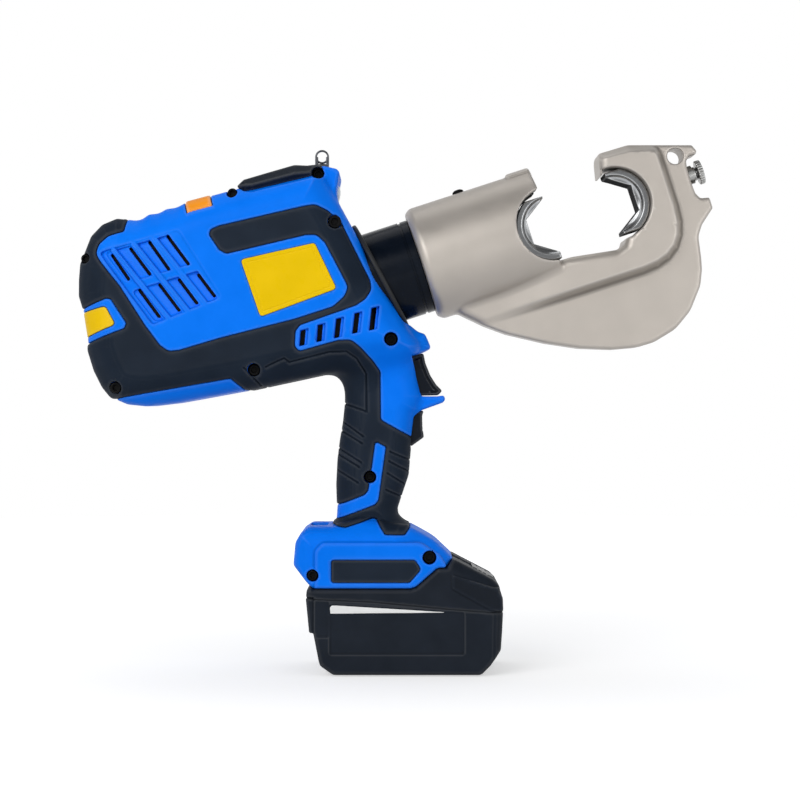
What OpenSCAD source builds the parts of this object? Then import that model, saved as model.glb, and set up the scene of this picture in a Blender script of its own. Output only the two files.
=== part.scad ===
// Cordless hydraulic crimping tool: swivelling C-head, half-hex dies, planetary pump drive, slide-on battery.
// Millimetres. The origin is the middle of the battery's flat base, +X points to the jaws and +Z is up.
// Pieces of the drive and the head are placed along the ram axis, which rises to the front.

/* [Axes] */
// Tilt of the ram axis above the horizontal, in degrees
axis_tilt = 18; // [16:0.5:20]
// Distance of the head's rear face in front of the base's middle
head_x = 8.3; // [4:0.1:12]
// Height of the ram axis above the body's floor, at the head's rear face
head_rise = 83.5; // [80:0.5:87]
// Distance of the motor axis above the ram axis
drive_rise = 20; // [18:0.5:22]

/* [Battery] */
// Length of the battery
battery_l = 114; // [110:1:124]
// Width of the battery
battery_w = 74; // [72:1:84]
// Height of the flat top that the foot slides on
battery_h = 50; // [48:0.5:60]
// Wall of the battery's cases
case_wall = 2.5; // [2:0.1:3]
// Radius of a cell
cell_r = 9.1; // [8.5:0.1:9.2]
// Length of a cell
cell_l = 65; // [60:1:66]
// Play between the battery and the foot
slide_gap = 0.4; // [0.3:0.05:0.6]

/* [Foot and handle] */
// Length of the foot
foot_l = 92; // [88:1:98]
// Height of the foot
foot_h = 35.5; // [34:0.5:40]
// Width of the foot
foot_w = 76; // [72:1:86]
// Rounding of the foot's side edges
foot_edge = 7; // [4:0.5:9]
// Height from the foot's top to the body's floor
handle_h = 68; // [64:1:76]
// Depth of the handle from front to back
handle_d = 44; // [42:0.5:48]
// Width of the handle
handle_w = 40; // [36:0.5:44]
// Rounding of the handle's edges
handle_edge = 13; // [9:0.5:14]

/* [Body] */
// Height of the body from its floor to the top of its front corner
body_h = 142; // [138:1:150]
// Rounding of the body's side edges
body_edge = 16; // [10:0.5:20]
// Wall of the housing shells
wall = 4; // [3.5:0.1:5]
// Thickness of the soft overmould
skin_t = 1.8; // [1:0.1:2.2]
// Room beside the gear case
side_room = 6; // [4:0.5:9]
// Room behind the fan
rear_room = 14.7; // [12:0.1:20]
// Thickness of the top pad
pad_t = 6; // [3:0.5:8]

/* [Head] */
// Radius of the head's cylinder
head_r = 33.8; // [33:0.1:36]
// Length of the head's cylinder
head_l = 77; // [74:1:84]
// Reach of the head in front of its rear face
head_reach = 173; // [168:1:180]
// Depth of the head below the ram axis
head_drop = 85.5; // [80:0.5:92]
// Height of the jaw above the ram axis
jaw_rise = 29.6; // [28:0.1:32]
// Width of the thick part of the jaw
ridge_w = 40; // [36:1:46]
// Width of the web under the jaw
web_w = 22; // [16:1:28]
// Diameter of the hanging hole in the jaw
hang_bore = 9.4; // [6:0.1:11]
// Width of the dies
die_w = 26; // [20:1:30]
// Radius of the die seats
seat_r = 21.2; // [20:0.1:21.6]
// Distance between the die seats when the ram is back
seat_span = 38.5; // [36:0.5:42]
// Distance across the flats of the hexagon that the closed dies press
hex_flats = 26; // [16:0.5:28]

/* [Ram and neck] */
// Radius of the ram
ram_r = 22; // [21.8:0.1:23]
// Radius of the neck
neck_r = 28; // [26.5:0.1:29]
// Length of the neck from the pump block to the head
neck_l = 40; // [38:0.5:46]
// Radius of the neck's spigot inside the head
spigot_r = 25; // [24:0.1:25.5]
// Radial play of the turning and sliding fits
running_fit = 0.05; // [0.02:0.01:0.1]

/* [Drive] */
// Radius of the motor can
motor_r = 26; // [24:0.5:28]
// Length of the motor can
motor_l = 62; // [58:1:68]
// Length of the fan
fan_l = 12; // [8:0.5:14]
// Radius of the gear case
gearcase_r = 29; // [28.5:0.1:31]
// Length of the gear case
gearcase_l = 28; // [26:0.5:32]
// Length of the pump block
block_l = 44; // [42:0.5:48]
// Width of the pump block
block_w = 56; // [50:0.5:58]
// Module of the gears
gear_module = 1; // [0.9:0.01:1.02]
// Width of the gears' teeth
gear_w = 9; // [7:0.5:10]

/* [Controls] */
// Width of the trigger
trigger_w = 18; // [14:0.5:22]
// Travel of the trigger
trigger_travel = 5; // [3:0.5:6]
// Travel of the release button
button_travel = 3; // [2:0.5:4]
// Pull of the die lock knob
knob_pull = 5; // [3:0.5:6]
// Radius of the die lock knob
knob_r = 7; // [6:0.5:8]
// Travel of the battery's latch button
latch_travel = 4; // [2:0.5:5]

/* [Hidden] */
$fn = 48;

// Small clearances and the overrun of cuts
overrun = 1;
seat_fit = 0.1;
move_gap = 0.4;
least_r = 0.4;
mesh_fn = 16;
full_turn = 60;

// Heights of the stack from the base to the ram axis
foot_floor = battery_h + slide_gap;
foot_top = foot_floor + foot_h;
body_floor = foot_top + handle_h;
head_z = body_floor + head_rise;

// Stations along the drive axis, counted from the head's rear face
block_at = -neck_l - block_l;
gearcase_at = block_at - gearcase_l;
motor_at = gearcase_at - motor_l;
fan_at = motor_at - fan_l;

// Body box: its rear follows the drive behind the head, its width follows the gear case
body_back = -fan_at * cos(axis_tilt) + drive_rise * sin(axis_tilt) + rear_room;
nose_reach = 5.2;
body_l = body_back + nose_reach;
body_x = head_x - body_back;
body_w = 2 * (gearcase_r + wall + side_room);
handle_wall = 3;
handle_x = -handle_d + nose_reach / 2;
foot_lead_share = 0.23;
foot_x = -foot_l + battery_l * foot_lead_share;

// Outlines: shares of a length and a height, then a corner radius as a share of the height
body_shares = [[0.069, -0.032, 0.197], [0.975, 0.209, 0.035], [0.689, 0.975, 0.05], [0.416, 0.891, 0.3],
    [0.034, 0.729, 0.09], [-0.014, 0.493, 0.14]];
handle_shares = [[-0.02, -0.06, 0.03], [0.9, -0.06, 0.03], [1.01, 0.62, 0.3], [1.09, 1.16, 0.1],
    [1, 1.62, 0.03], [0.05, 1.5, 0.03], [0.05, 0.8, 0.5]];
foot_shares = [[0.125, 0, 0.08], [0.73, 0, 0.08], [1, 0.475, 0.04], [0.86, 0.83, 0.28], [0.735, 1, 0.2],
    [0.02, 1, 0.26], [0, 0.36, 0.14]];
turret_shares = [[0.6, 0.79, 0.02], [0.728, 0.845, 0.02], [0.741, 0.965, 0.02], [0.7, 0.983, 0.03],
    [0.6, 0.95, 0.02]];
nose_shares = [[0.9, 0.2, 0.01], [1, 0.242, 0.012], [0.99, 0.296, 0.014], [0.94, 0.315, 0.03],
    [0.88, 0.4, 0.02]];
fin_shares = [[0.92, 0.95, 0.03], [1.1, 1.01, 0.03], [1.39, 1.03, 0.03], [1.4, 1.09, 0.03], [1.1, 1.09, 0.03],
    [0.92, 1.08, 0.03]];
body_points = placed(body_shares, [body_x, body_floor], [body_l, body_h]);
handle_points = placed(handle_shares, [handle_x, foot_top], [handle_d, handle_h]);
foot_points = placed(foot_shares, [foot_x, foot_floor], [foot_l, foot_h]);
turret_points = placed(turret_shares, [body_x, body_floor], [body_l, body_h]);
turret_w = 44;
turret_edge = 5;
nose_w = 30;
fin_w = 20;
fillet_r = 14;
fillet_x_share = 0.14;
fillet_z_share = 0.128;

// Dark regions of the body's side, as shares of the body's box
belly_shares = [[0.13, 0.86], [0.133, 0.707], [0.06, 0.655], [0.055, 0.61], [0.125, 0.49], [0.245, 0.235],
    [0.285, 0.228], [0.63, 0.327], [0.622, 0.235], [0.762, 0.275], [0.858, 0.147], [0.856, -0.05],
    [0.95, -0.13], [1.05, -0.13], [1.05, -0.5], [0.6, -0.5], [0.6, -0.1], [-0.1, -0.1], [-0.1, 0.86]];
band_shares = [[0.384, 0.722], [0.66, 0.816], [0.72, 0.775], [0.748, 0.737], [0.83, 0.51], [0.8, 0.438],
    [0.62, 0.32], [0.5, 0.32], [0.72, 0.404], [0.764, 0.489], [0.7, 0.663], [0.66, 0.695], [0.43, 0.617]];
strip_shares = [[0.1, -0.1], [0.11, 0.035], [0.43, 0.115], [0.472, 0.067], [0.472, -0.1]];
inlay_shares = [[0, 0.383], [0.082, 0.408], [0.108, 0.335], [0.02, 0.28], [-0.05, 0.26], [-0.05, 0.37]];
label_shares = [[0.473, 0.598], [0.667, 0.662], [0.727, 0.486], [0.53, 0.376]];
pad_shares = [[0.45, 0.905], [0.495, 0.872], [0.668, 0.931], [0.692, 0.975], [0.672, 0.998], [0.609, 0.996],
    [0.463, 0.93]];
foot_inlay_shares = [[0.47, 0.12], [0.78, 0.34], [0.73, 0.72], [0.28, 0.72], [0.28, 0.12]];

// Slots in the shells: middles as shares of the body's box, then the slot's width, run and lean
vent_shares = [[0.125, 0.553], [0.194, 0.593], [0.262, 0.63], [0.334, 0.666], [0.212, 0.3], [0.292, 0.34],
    [0.372, 0.38], [0.448, 0.42]];
vent_w = 2;
vent_run = 17;
vent_lean = 36;
front_vent_shares = [[0.64, 0.26], [0.693, 0.283], [0.745, 0.307], [0.798, 0.33], [0.85, 0.352]];
front_vent_w = 4;
front_vent_run = 9;
front_vent_lean = -8;

// Case screws: places as shares of the body's, the handle's and the foot's box, and their sizes
body_screw_shares = [[0.04, 0.6], [0.113, 0.085], [0.505, 0.145], [0.428, 0.863], [0.715, 0.85],
    [0.885, 0.25]];
handle_screw_shares = [[0.51, 0.353]];
foot_screw_shares = [[0.12, 0.2], [0.83, 0.5]];
screw_r = 1.6;
screw_head_r = 3;
screw_head_t = 2.4;
screw_deep = 3;
boss_r = 4.6;

// Head: shares of its reach and of its height from the bulge's bottom to the jaw's top
head_h = head_drop + jaw_rise;
web_shares = [[0.06, 0.44, 0.02], [0.24, 0.217, 1.2], [0.55, 0, 0.75], [0.764, 0, 0.3], [0.897, 0.238, 0.34],
    [0.922, 0.452, 0.08], [1, 0.56, 0.02], [0.998, 0.617, 0.012], [0.957, 0.63, 0.02], [0.957, 0.83, 0.01],
    [1, 0.848, 0.02], [0.997, 0.896, 0.02], [0.79, 1, 0.05], [0.68, 1, 0.02], [0.664, 0.883, 0.01],
    [0.664, 0.534, 0.05], [0.44, 0.534, 0.01], [0.44, 0.56, 0.01], [0.06, 0.56, 0.02]];
ridge_shares = [[0.1, 0.42, 0.02], [0.23, 0.36, 0.3], [0.73, 0.36, 0.35], [0.906, 0.55, 0.2],
    [0.893, 0.87, 0.09], [0.81, 0.985, 0.09], [0.68, 1, 0.02], [0.664, 0.883, 0.01], [0.664, 0.534, 0.05],
    [0.44, 0.534, 0.01], [0.44, 0.56, 0.01], [0.1, 0.56, 0.02]];
hang_shares = [0.93, 0.868];
head_chamfer_l = 5;
head_chamfer = 3.6;
lip_l = 13;
lip_t = 1.1;
lip_w = 40;
seat_drop = 1.5;
seat_ahead = 2.5;
rear_seat_at = head_l + seat_ahead;
front_seat_at = rear_seat_at + seat_span;
die_flare = 34;
bore_at = 17;
bore_r = ram_r + running_fit;
knob_z = 1.6;
knob_face_share = 0.957;
knob_face = head_reach * knob_face_share;
knob_stem_r = 3;
knob_stand = 4;
knob_t = 5;
knob_notches = 24;
notch_r = 0.6;
pin_into_die = 4;
sleeve_r = 5.6;
sleeve_wall = 0.8;
sleeve_out = 3.2;
sleeve_room = 7;
sleeve_l = sleeve_room + knob_pull;
stem_flange_t = 1.5;
cap_screw_at = 34;
cap_screw_r = 3.4;
cap_screw_h = 2.2;
cap_screw_deep = 7;

// Ram
ram_tail_gap = 1;
ram_tail_at = bore_at + ram_tail_gap;
ram_setback = 1.5;
ram_hollow_r = 13;
ram_floor = 8.3;
ram_hollow_l = rear_seat_at - seat_r - ram_tail_at - ram_floor;
seal_w = 3;
seal_depth = 2;
seal_in = 6;
seal_at = ram_tail_at + seal_in;

// Neck: flange on the pump block, visible tube, spigot in the head
flange_rim = 2;
flange_r = neck_r + flange_rim;
flange_l = 5;
neck_bore_r = 8;
neck_gap = 0.3;
spigot_gap = 1.5;
spigot_l = bore_at - spigot_gap;
ring_back = 5;
ring_groove_at = spigot_l - ring_back;
ring_w = 2;
ring_out = 1.6;
ring_in = 1.4;
oring_r = 1.4;
oring_at = 4;
collar_t = 3.5;
collar_r = 35;

// Pump block and its bores
block_rim = 1;
block_low = neck_r + block_rim;
block_cover = 20;
block_high = drive_rise + block_cover;
chamber_r = 13;
chamber_l = 18;
bearing_r = 11;
bearing_l = 8;
plunger_r = 4;
plunger_l = 20;
plunger_at = block_at + bearing_l + chamber_l / 2;
oil_way_r = 2.5;
cam_r = 9;
cam_throw = 2;
cam_l = 10;
plunger_foot = -cam_r - cam_throw - plunger_l - move_gap;
valve_r = 6;
valve_l = 14;
valve_at = block_at + block_l * 3 / 4;
reservoir_l = neck_l;
reservoir_w = 44;
reservoir_t = 16;

// Gears: a sun of 15 teeth, three planets of 15 and a ring of 45, so the carrier turns once in four
sun_teeth = 15;
planet_teeth = 15;
ring_teeth = sun_teeth + 2 * planet_teeth;
addendum_share = 0.8;
dedendum_share = 1.05;
backlash_share = 0.24;
pressure_angle = 20;
orbit_r = gear_module * (sun_teeth + planet_teeth) / 2;
ring_rim_share = 3.45;
ring_outer_r = gear_module * (ring_teeth / 2 + ring_rim_share);
shaft_r = 4;
planet_pin_r = 2.5;
carrier_rim = 5;
carrier_r = orbit_r + carrier_rim;
carrier_t = 5;
plate_gap = 0.8;
case_floor = 3;
carrier_at = block_at - case_floor - move_gap - carrier_t;
gear_at = carrier_at - plate_gap - gear_w;
armature_r = 17;
armature_gap = 8;
can_wall = 3;
bell_l = 5;
fan_rim = 2;
fan_r = motor_r - fan_rim;
fan_hub_r = 7;
fan_blades = 9;
blade_t = 1.6;

// Boards, switches and wiring
board_t = 1.6;
board_l = 50;
board_w = 40;
switch_l = 19;
switch_w = 18;
switch_h = 22;
trigger_shares = [[0.5, 0, 0.05], [0.88, 0.02, 0.03], [1, 0.1, 0.04], [0.8, 0.36, 0.3], [0.66, 0.72, 0.2],
    [0.63, 0.96, 0.04], [0.36, 0.88, 0.02], [0, 0.88, 0.02], [0, 0.02, 0.02]];
trigger_d = 27;
trigger_h = 26;
trigger_x = -6;
trigger_rise = 6.6;
trigger_z = body_floor + trigger_rise;
switch_x = trigger_x - trigger_travel - switch_l - move_gap;
lever_shares = [[0.45, 0, 0.04], [1, 0.26, 0.06], [0.94, 0.6, 0.2], [1, 0.98, 0.08], [0.5, 1, 0.05],
    [0, 0.96, 0.1], [0, 0.3, 0.1]];
lever_d = 15;
lever_h = 21;
lever_w = 16;
lever_x = -5;
lever_drop = 23.5;
lever_z = body_floor - lever_drop;
lever_turn = 10;
lever_pin_share = 0.82;
lever_pin_r = 1.5;
lever_pin_l = 24;
lever_pin_in = 4.5;
lever_pin_x = lever_x + lever_pin_in;
lever_pin_z = lever_z + lever_h * lever_pin_share;
retract_switch_l = 8;
retract_switch_h = 12;
retract_switch_w = 10;
retract_spare = 1.5;
retract_gap = lever_h * lever_pin_share * sin(lever_turn) + retract_spare;
retract_x = lever_x - retract_gap - retract_switch_l;
loom_r = 2.2;
spring_wire = 0.5;
spring_sides = 6;
spring_steps = 8;

// Hanging eye and lamp
eye_r = 4.1;
eye_bore_r = 3.25;
eye_t = 3;
eye_share = 0.687;
eye_rise = 5.5;
eye_root = 11;
eye_x = body_x + body_l * eye_share;
eye_z = body_floor + body_h + eye_rise;
lens_r = 5.6;
lens_t = 3;
lens_x_share = 0.728;
lens_z_share = 0.88;
lens_x = body_x + body_l * lens_x_share;
lens_z = body_floor + body_h * lens_z_share;
lens_lean = -8.5;
lens_sink = 1.5;

// Battery: outlines as shares of its length and flat height
lower_shares = [[-0.375, 0, 0.08], [0.375, 0, 0.08], [0.475, 0.29, 0.12], [0.485, 0.75, 0.02],
    [-0.507, 0.87, 0.02], [-0.45, 0.12, 0.06]];
upper_shares = [[-0.507, 0.876], [0.485, 0.756], [0.483, 0.88], [0.465, 1.03], [0.435, 1.1], [0.235, 1.345],
    [0.018, 1], [-0.485, 1], [-0.505, 0.97]];
tongue_w = 44;
tongue_flange_w = 54;
tongue_neck_h = 4;
tongue_h = 9;
tongue_l = 50;
tongue_x = -50;
blade_y = 8;
blade_thick = 1.2;
blade_l = 26;
cell_gap = 0.4;
cell_pitch = 2 * cell_r + cell_gap;
cell_rows = 2;
cell_columns = 5;
cell_lift = 0.6;
cell_floor = case_wall + cell_lift;
holder_t = 4;
holder_in = 8;
holder_y = cell_l / 2 - holder_in;
latch_x = 38;
latch_l = 13;
latch_w = 28;
latch_h = 11;
latch_z = battery_h;
latch_shares = [[0, 0], [0.96, 0], [1, 0.2], [0.89, 0.42], [0, 0.94]];
shelf_t = 2;
shelf_gap = 1.6;
shelf_z = latch_z - latch_travel - shelf_t - shelf_gap;
shelf_reach = 2;
arm_t = 3;
tooth_x = 14;
tooth_l = 4;
tooth_w = 16;
tooth_h = 4;
tooth_rise = 12.5;
tooth_z = battery_h + tooth_rise;
upper_hollow_share = 0.93;
clip_t = 0.8;
clip_gap = 0.8;
clip_h = 8;
strap_t = 0.4;

function unit(v) = v / norm(v);
function left_of(v) = [-v[1], v[0]];
function flat(p) = [p[0], p[1]];

// Points of an outline from shares of a box; a third share is a corner radius
function placed(shares, at, size) = [for (s = shares)
    [at[0] + s[0] * size[0], at[1] + s[1] * size[1], len(s) > 2 ? s[2] * size[1] : 0]];

// One corner of a counter-clockwise outline, moved inwards and rounded, as an arc of points;
// a corner that turns less than a full turn has fewer
function corner(p, i, inset, steps) =
    let (m = len(p), b = flat(p[i]),
        u = unit(b - flat(p[(i + m - 1) % m])), v = unit(flat(p[(i + 1) % m]) - b),
        q = b + inset * (left_of(u) + left_of(v)) / (1 + u * v),
        turn = atan2(u[0] * v[1] - u[1] * v[0], u * v), side = turn < 0 ? -1 : 1,
        r = max(p[i][2] - side * inset, least_r), n = ceil(steps * min(abs(turn) / full_turn, 1)),
        start = q - r * tan(abs(turn) / 2) * u, mid = start + side * r * left_of(u))
    [for (k = [0:n]) let (t = turn * k / n, w = -side * r * left_of(u))
        mid + [w[0] * cos(t) - w[1] * sin(t), w[0] * sin(t) + w[1] * cos(t)]];
function rounded(p, inset = 0, steps = 4) = [for (i = [0:len(p) - 1]) each corner(p, i, inset, steps)];

// Solid through rings of points, closed by its first and last ring
module loft(rings) {
    n = len(rings[0]);
    m = len(rings);
    sides = [for (j = [0:m - 2], i = [0:n - 1]) let (a = j * n + i, b = j * n + (i + 1) % n)
        each [[a, a + n, b + n], [a, b + n, b]]];
    polyhedron([for (r = rings) each r],
        concat([[for (i = [0:n - 1]) i]], sides, [[for (i = [n - 1:-1:0]) (m - 1) * n + i]]));
}

// Right half of a body with the given outline and width, its side edge rounded, moved inwards by an inset
module half(points, w, edge, inset = 0, steps = 3) {
    deep = w / 2 - inset;
    r = max(edge - inset, least_r);
    function ring(y, d) = [for (q = rounded(points, d)) [q[0], -y, q[1]]];
    loft(concat([ring(0, inset), ring(deep - r, inset)],
        [for (k = [1:steps]) let (t = 90 * k / steps)
            ring(deep - r + r * sin(t), inset + r * (1 - cos(t)))]));
}

// Both halves of such a body as one solid
module whole(points, w, edge, inset = 0, steps = 3) {
    deep = w / 2 - inset;
    r = max(edge - inset, least_r);
    function ring(y, d) = [for (q = rounded(points, d)) [q[0], -y, q[1]]];
    loft([for (k = [-steps:steps], side = k == 0 ? [-1, 1] : [k]) let (t = 90 * k / steps)
        ring(sign(side) * (deep - r) + r * sin(t), inset + r * (1 - cos(t)))]);
}

// Extrusion of an X and Z outline across the tool's middle plane
module slab(w) {
    rotate([90, 0, 0]) translate([0, 0, -w / 2]) linear_extrude(w) children();
}

module prism(points, w) {
    slab(w) polygon([for (p = points) flat(p)]);
}

module on_axis() {
    translate([head_x, 0, head_z]) rotate([0, -axis_tilt, 0]) children();
}

module on_drive() {
    on_axis() translate([0, 0, drive_rise]) children();
}

module rod(l, r, at = 0) {
    translate([at, 0, 0]) rotate([0, 90, 0]) cylinder(h = l, r = r);
}

module across(l, r) {
    rotate([90, 0, 0]) cylinder(h = l, r = r, center = true);
}

module tube(l, r, bore, at = 0) {
    difference() {
        rod(l, r, at);
        rod(l + 2 * overrun, bore, at - overrun);
    }
}

module box(size, at) {
    translate(at) cube(size);
}

// Coil spring along X from zero to its length, with flat ends one wire thick
module coil(l, r, wire, turns) {
    n = turns * spring_steps;
    lay = (l - 2 * wire) / n;
    loft([for (k = [0:n]) let (t = 360 * k / spring_steps, p = [wire + k * lay, r * cos(t), r * sin(t)])
        [for (j = [0:spring_sides - 1]) let (s = 360 * j / spring_sides)
            p + [wire * cos(s), wire * sin(s) * cos(t), wire * sin(s) * sin(t)]]]);
}

// Involute tooth outlines
function roll(r, base) = base < r ? sqrt(r * r / base / base - 1) * 180 / PI - acos(base / r) : 0;
function tooth(teeth, low, high, slack) =
    let (pitch_r = gear_module * teeth / 2, base = pitch_r * cos(pressure_angle),
        half_pitch = (PI * gear_module / 2 - slack) / pitch_r * 90 / PI + roll(pitch_r, base),
        radii = [for (k = [0:4]) max(low, base) + (high - max(low, base)) * k / 4])
    concat([[low, -half_pitch]], [for (r = radii) [r, roll(r, base) - half_pitch]],
        [for (k = [4:-1:0]) [radii[k], half_pitch - roll(radii[k], base)]], [[low, half_pitch]]);
function gear_points(teeth, low, high, slack, phase) = [
    for (i = [0:teeth - 1], p = tooth(teeth, low, high, slack))
    let (t = p[1] + phase + 360 * i / teeth) p[0] * [cos(t), sin(t)]];

module spur(teeth, w, phase = 0) {
    pitch_r = gear_module * teeth / 2;
    rotate([0, 90, 0]) linear_extrude(w) polygon(gear_points(teeth, pitch_r - dedendum_share * gear_module,
        pitch_r + addendum_share * gear_module, backlash_share * gear_module / 2, phase));
}

// Shells
module body_half(inset = 0) {
    half(body_points, body_w, body_edge, inset);
}

module handle_half(inset = 0) {
    half(handle_points, handle_w, handle_edge, inset);
}

module handle_fillet() {
    corner_x = handle_x + fillet_x_share * handle_d;
    floor_z = body_floor + fillet_z_share * body_h;
    slab(handle_w - handle_edge) difference() {
        translate([corner_x - fillet_r, floor_z - fillet_r]) square([fillet_r + wall, fillet_r + wall]);
        translate([corner_x - fillet_r, floor_z - fillet_r]) circle(fillet_r);
    }
}

module outer_half() {
    difference() {
        union() {
            body_half();
            handle_half();
        }
        skin_pocket();
    }
    half(foot_points, foot_w, foot_edge);
    half(turret_points, turret_w, turret_edge);
    half_of() nose_and_fin();
}

// What lies inside the middle of the walls, so that ribs and bosses end in them
module core_half() {
    inset = (skin_t + handle_wall) / 2;
    body_half(inset);
    handle_half(inset);
    half(foot_points, foot_w, foot_edge, inset);
}

module nose_and_fin() {
    slab(nose_w) polygon(rounded(placed(nose_shares, [body_x, body_floor], [body_l, body_h])));
    slab(fin_w) polygon(rounded(placed(fin_shares, [handle_x, foot_top], [handle_d, handle_h])));
}

module half_of() {
    intersection() {
        union() children();
        box([2 * body_l, body_w, 2 * head_z], [-body_l, -body_w, 0]);
    }
}

// Where the case screws stand, in X and Z
screw_points = concat(placed(body_screw_shares, [body_x, body_floor], [body_l, body_h]),
    placed(handle_screw_shares, [handle_x, foot_top], [handle_d, handle_h]),
    placed(foot_screw_shares, [foot_x, foot_floor], [foot_l, foot_h]));

// How far from the middle plane the case's face lies at each screw
screw_faces = concat([for (s = body_screw_shares) body_w / 2 - body_edge / 2],
    [for (s = handle_screw_shares) handle_w / 2 - handle_edge / 3], [for (s = foot_screw_shares) foot_w / 2]);

module vent(p, w, run, lean) {
    translate([p[0], 0, p[1]]) rotate([0, lean, 0]) hull() {
        for (s = [-1, 1]) translate([0, 0, s * (run - w) / 2]) rotate([90, 0, 0])
            cylinder(h = body_w, r = w / 2, $fn = mesh_fn / 2);
    }
}

module vents() {
    for (p = placed(vent_shares, [body_x, body_floor], [body_l, body_h]))
        vent(p, vent_w, vent_run, -vent_lean);
    for (p = placed(front_vent_shares, [body_x, body_floor], [body_l, body_h]))
        vent(p, front_vent_w, front_vent_run, front_vent_lean);
}

// Radius of a coarse hole whose flats still clear a round piece
function round_seat(r) = (r + seat_fit) / cos(180 / mesh_fn);

// Pieces that the shells hold, each with its seat's play, cut out of the cradle ribs
module held() {
    on_drive() {
        rod(motor_l + fan_l + 2 * overrun, round_seat(motor_r), fan_at - 2 * overrun);
        rod(gearcase_l + 2 * seat_fit, round_seat(gearcase_r), gearcase_at - seat_fit);
    }
    on_axis() {
        box([block_l + 2 * seat_fit, block_w + 2 * seat_fit, block_low + block_high + 2 * seat_fit],
            [block_at - seat_fit, -block_w / 2 - seat_fit, -block_low - seat_fit]);
        rod(neck_l + head_l, round_seat(neck_r), -neck_l);
        rod(flange_l + 2 * seat_fit, round_seat(flange_r), -neck_l - seat_fit);
        valve_box(round_seat(valve_r) - valve_r);
        reservoir_box(seat_fit);
        board_box(seat_fit);
    }
    loom_rod(round_seat(loom_r) - loom_r);
    switch_box(seat_fit);
    retract_box(seat_fit);
}

module ribs() {
    on_axis() for (a = [motor_at + motor_l / 6, motor_at + motor_l * 5 / 6, gearcase_at + gearcase_l / 2,
        block_at + block_l / 4, block_at + block_l * 3 / 4])
        box([wall, body_w, 2 * body_h], [a - wall / 2, -body_w / 2, -body_h]);
    box([wall, body_w, switch_h], [switch_x + switch_l / 2, -body_w / 2, trigger_z]);
    box([wall, handle_w, retract_switch_h], [retract_x + retract_switch_l / 4, -handle_w / 2, lever_z]);
}

// Channel under the foot for the battery's tongue, with the slide's play around it
module tongue(play, l) {
    z = battery_h - overrun;
    for (s = [[tongue_w, z, tongue_h + overrun],
            [tongue_flange_w, z + overrun + tongue_neck_h, tongue_h - tongue_neck_h]])
        box([l, s[0] + 2 * play, s[2] + 2 * play], [tongue_x - play, -s[0] / 2 - play, s[1] - play]);
}

module cavity() {
    roof = foot_floor + tongue_h + 2 * slide_gap + handle_wall;
    half(body_points, body_w, body_edge, wall);
    half(handle_points, handle_w, handle_edge, handle_wall);
    intersection() {
        half(foot_points, foot_w, foot_edge, handle_wall);
        box([2 * foot_l, foot_w, foot_h], [-foot_l, -foot_w, roof]);
    }
}

module control_cuts() {
    gap = move_gap;
    box([2 * trigger_d, trigger_w + 2 * gap, trigger_h + gap],
        [trigger_x - trigger_travel - gap, -trigger_w / 2 - gap, trigger_z - gap]);
    box([2 * lever_d, lever_w + 2 * gap, lever_h + 2 * gap],
        [lever_x - retract_gap, -lever_w / 2 - gap, lever_z - gap]);
    translate([lever_pin_x, 0, lever_pin_z]) across(lever_pin_l + 2 * seat_fit, round_seat(lever_pin_r));
    tongue(slide_gap, 2 * foot_l);
    terminal_box(seat_fit);
    box([foot_l, tooth_w + 2 * gap, tooth_h + gap], [tooth_x - gap, -tooth_w / 2 - gap, tooth_z - tooth_h]);
    button_well(move_gap, button_travel + move_gap);
    lamp_cut();
    collar_disc(round_seat(collar_r), seat_fit / 2);
    on_axis() rod(neck_l + head_l, round_seat(neck_r), -neck_l);
}

module screw_cuts() {
    for (i = [0:len(screw_points) - 1])
        translate([screw_points[i][0], 0, screw_points[i][1]]) rotate([90, 0, 0]) {
        translate([0, 0, -screw_deep - screw_faces[i]])
            cylinder(h = body_w, r = screw_r + seat_fit, $fn = mesh_fn);
        translate([0, 0, screw_faces[i] - screw_deep - screw_head_t])
            cylinder(h = body_w, r = screw_head_r + seat_fit, $fn = mesh_fn);
    }
}

module bosses() {
    for (p = screw_points) translate([p[0], 0, p[1]]) rotate([90, 0, 0])
        cylinder(h = body_w, r = boss_r, $fn = mesh_fn);
}

// The right shell, or its mirror image; only the right one has the screws' heads
module shell(heads) {
    $fn = mesh_fn;
    difference() {
        union() {
            difference() {
                outer_half();
                cavity();
            }
            intersection() {
                core_half();
                half_of() {
                    ribs();
                    bosses();
                    button_well(move_gap + wall / 2, button_travel + wall);
                }
            }
        }
        held();
        control_cuts();
        vents();
        if (heads) screw_cuts();
        else mirror([0, 1, 0]) screw_cuts();
        half_of() label_solid();
        half_of() foot_inlay_solid();
        half_of() top_pad_solid();
        half_of() eye_solid(seat_fit);
    }
}

// Regions of the side that the soft skin covers, in X and Z
module skin_region() {
    difference() {
        union() for (s = [belly_shares, band_shares])
            prism(placed(s, [body_x, body_floor], [body_l, body_h]), body_w + 2 * overrun);
        for (s = [strip_shares, inlay_shares])
            prism(placed(s, [body_x, body_floor], [body_l, body_h]), body_w + 4 * overrun);
        box([body_l, body_w, foot_h], [-body_l / 2, -body_w / 2, foot_top - foot_h]);
    }
}

// What the skin and the rear inlay take from the shells
module skin_pocket() {
    difference() {
        union() {
            skin_region();
            prism(placed(inlay_shares, [body_x, body_floor], [body_l, body_h]), body_w + 2 * overrun);
        }
        body_half(skin_t);
        handle_half(skin_t);
    }
}

// Soft skin: the outer layer of the body and handle inside the dark regions
module dark_skin() {
    intersection() {
        difference() {
            union() {
                body_half();
                handle_half();
                half_of() handle_fillet();
            }
            body_half(skin_t);
            handle_half(skin_t);
        }
        skin_region();
    }
}

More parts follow.
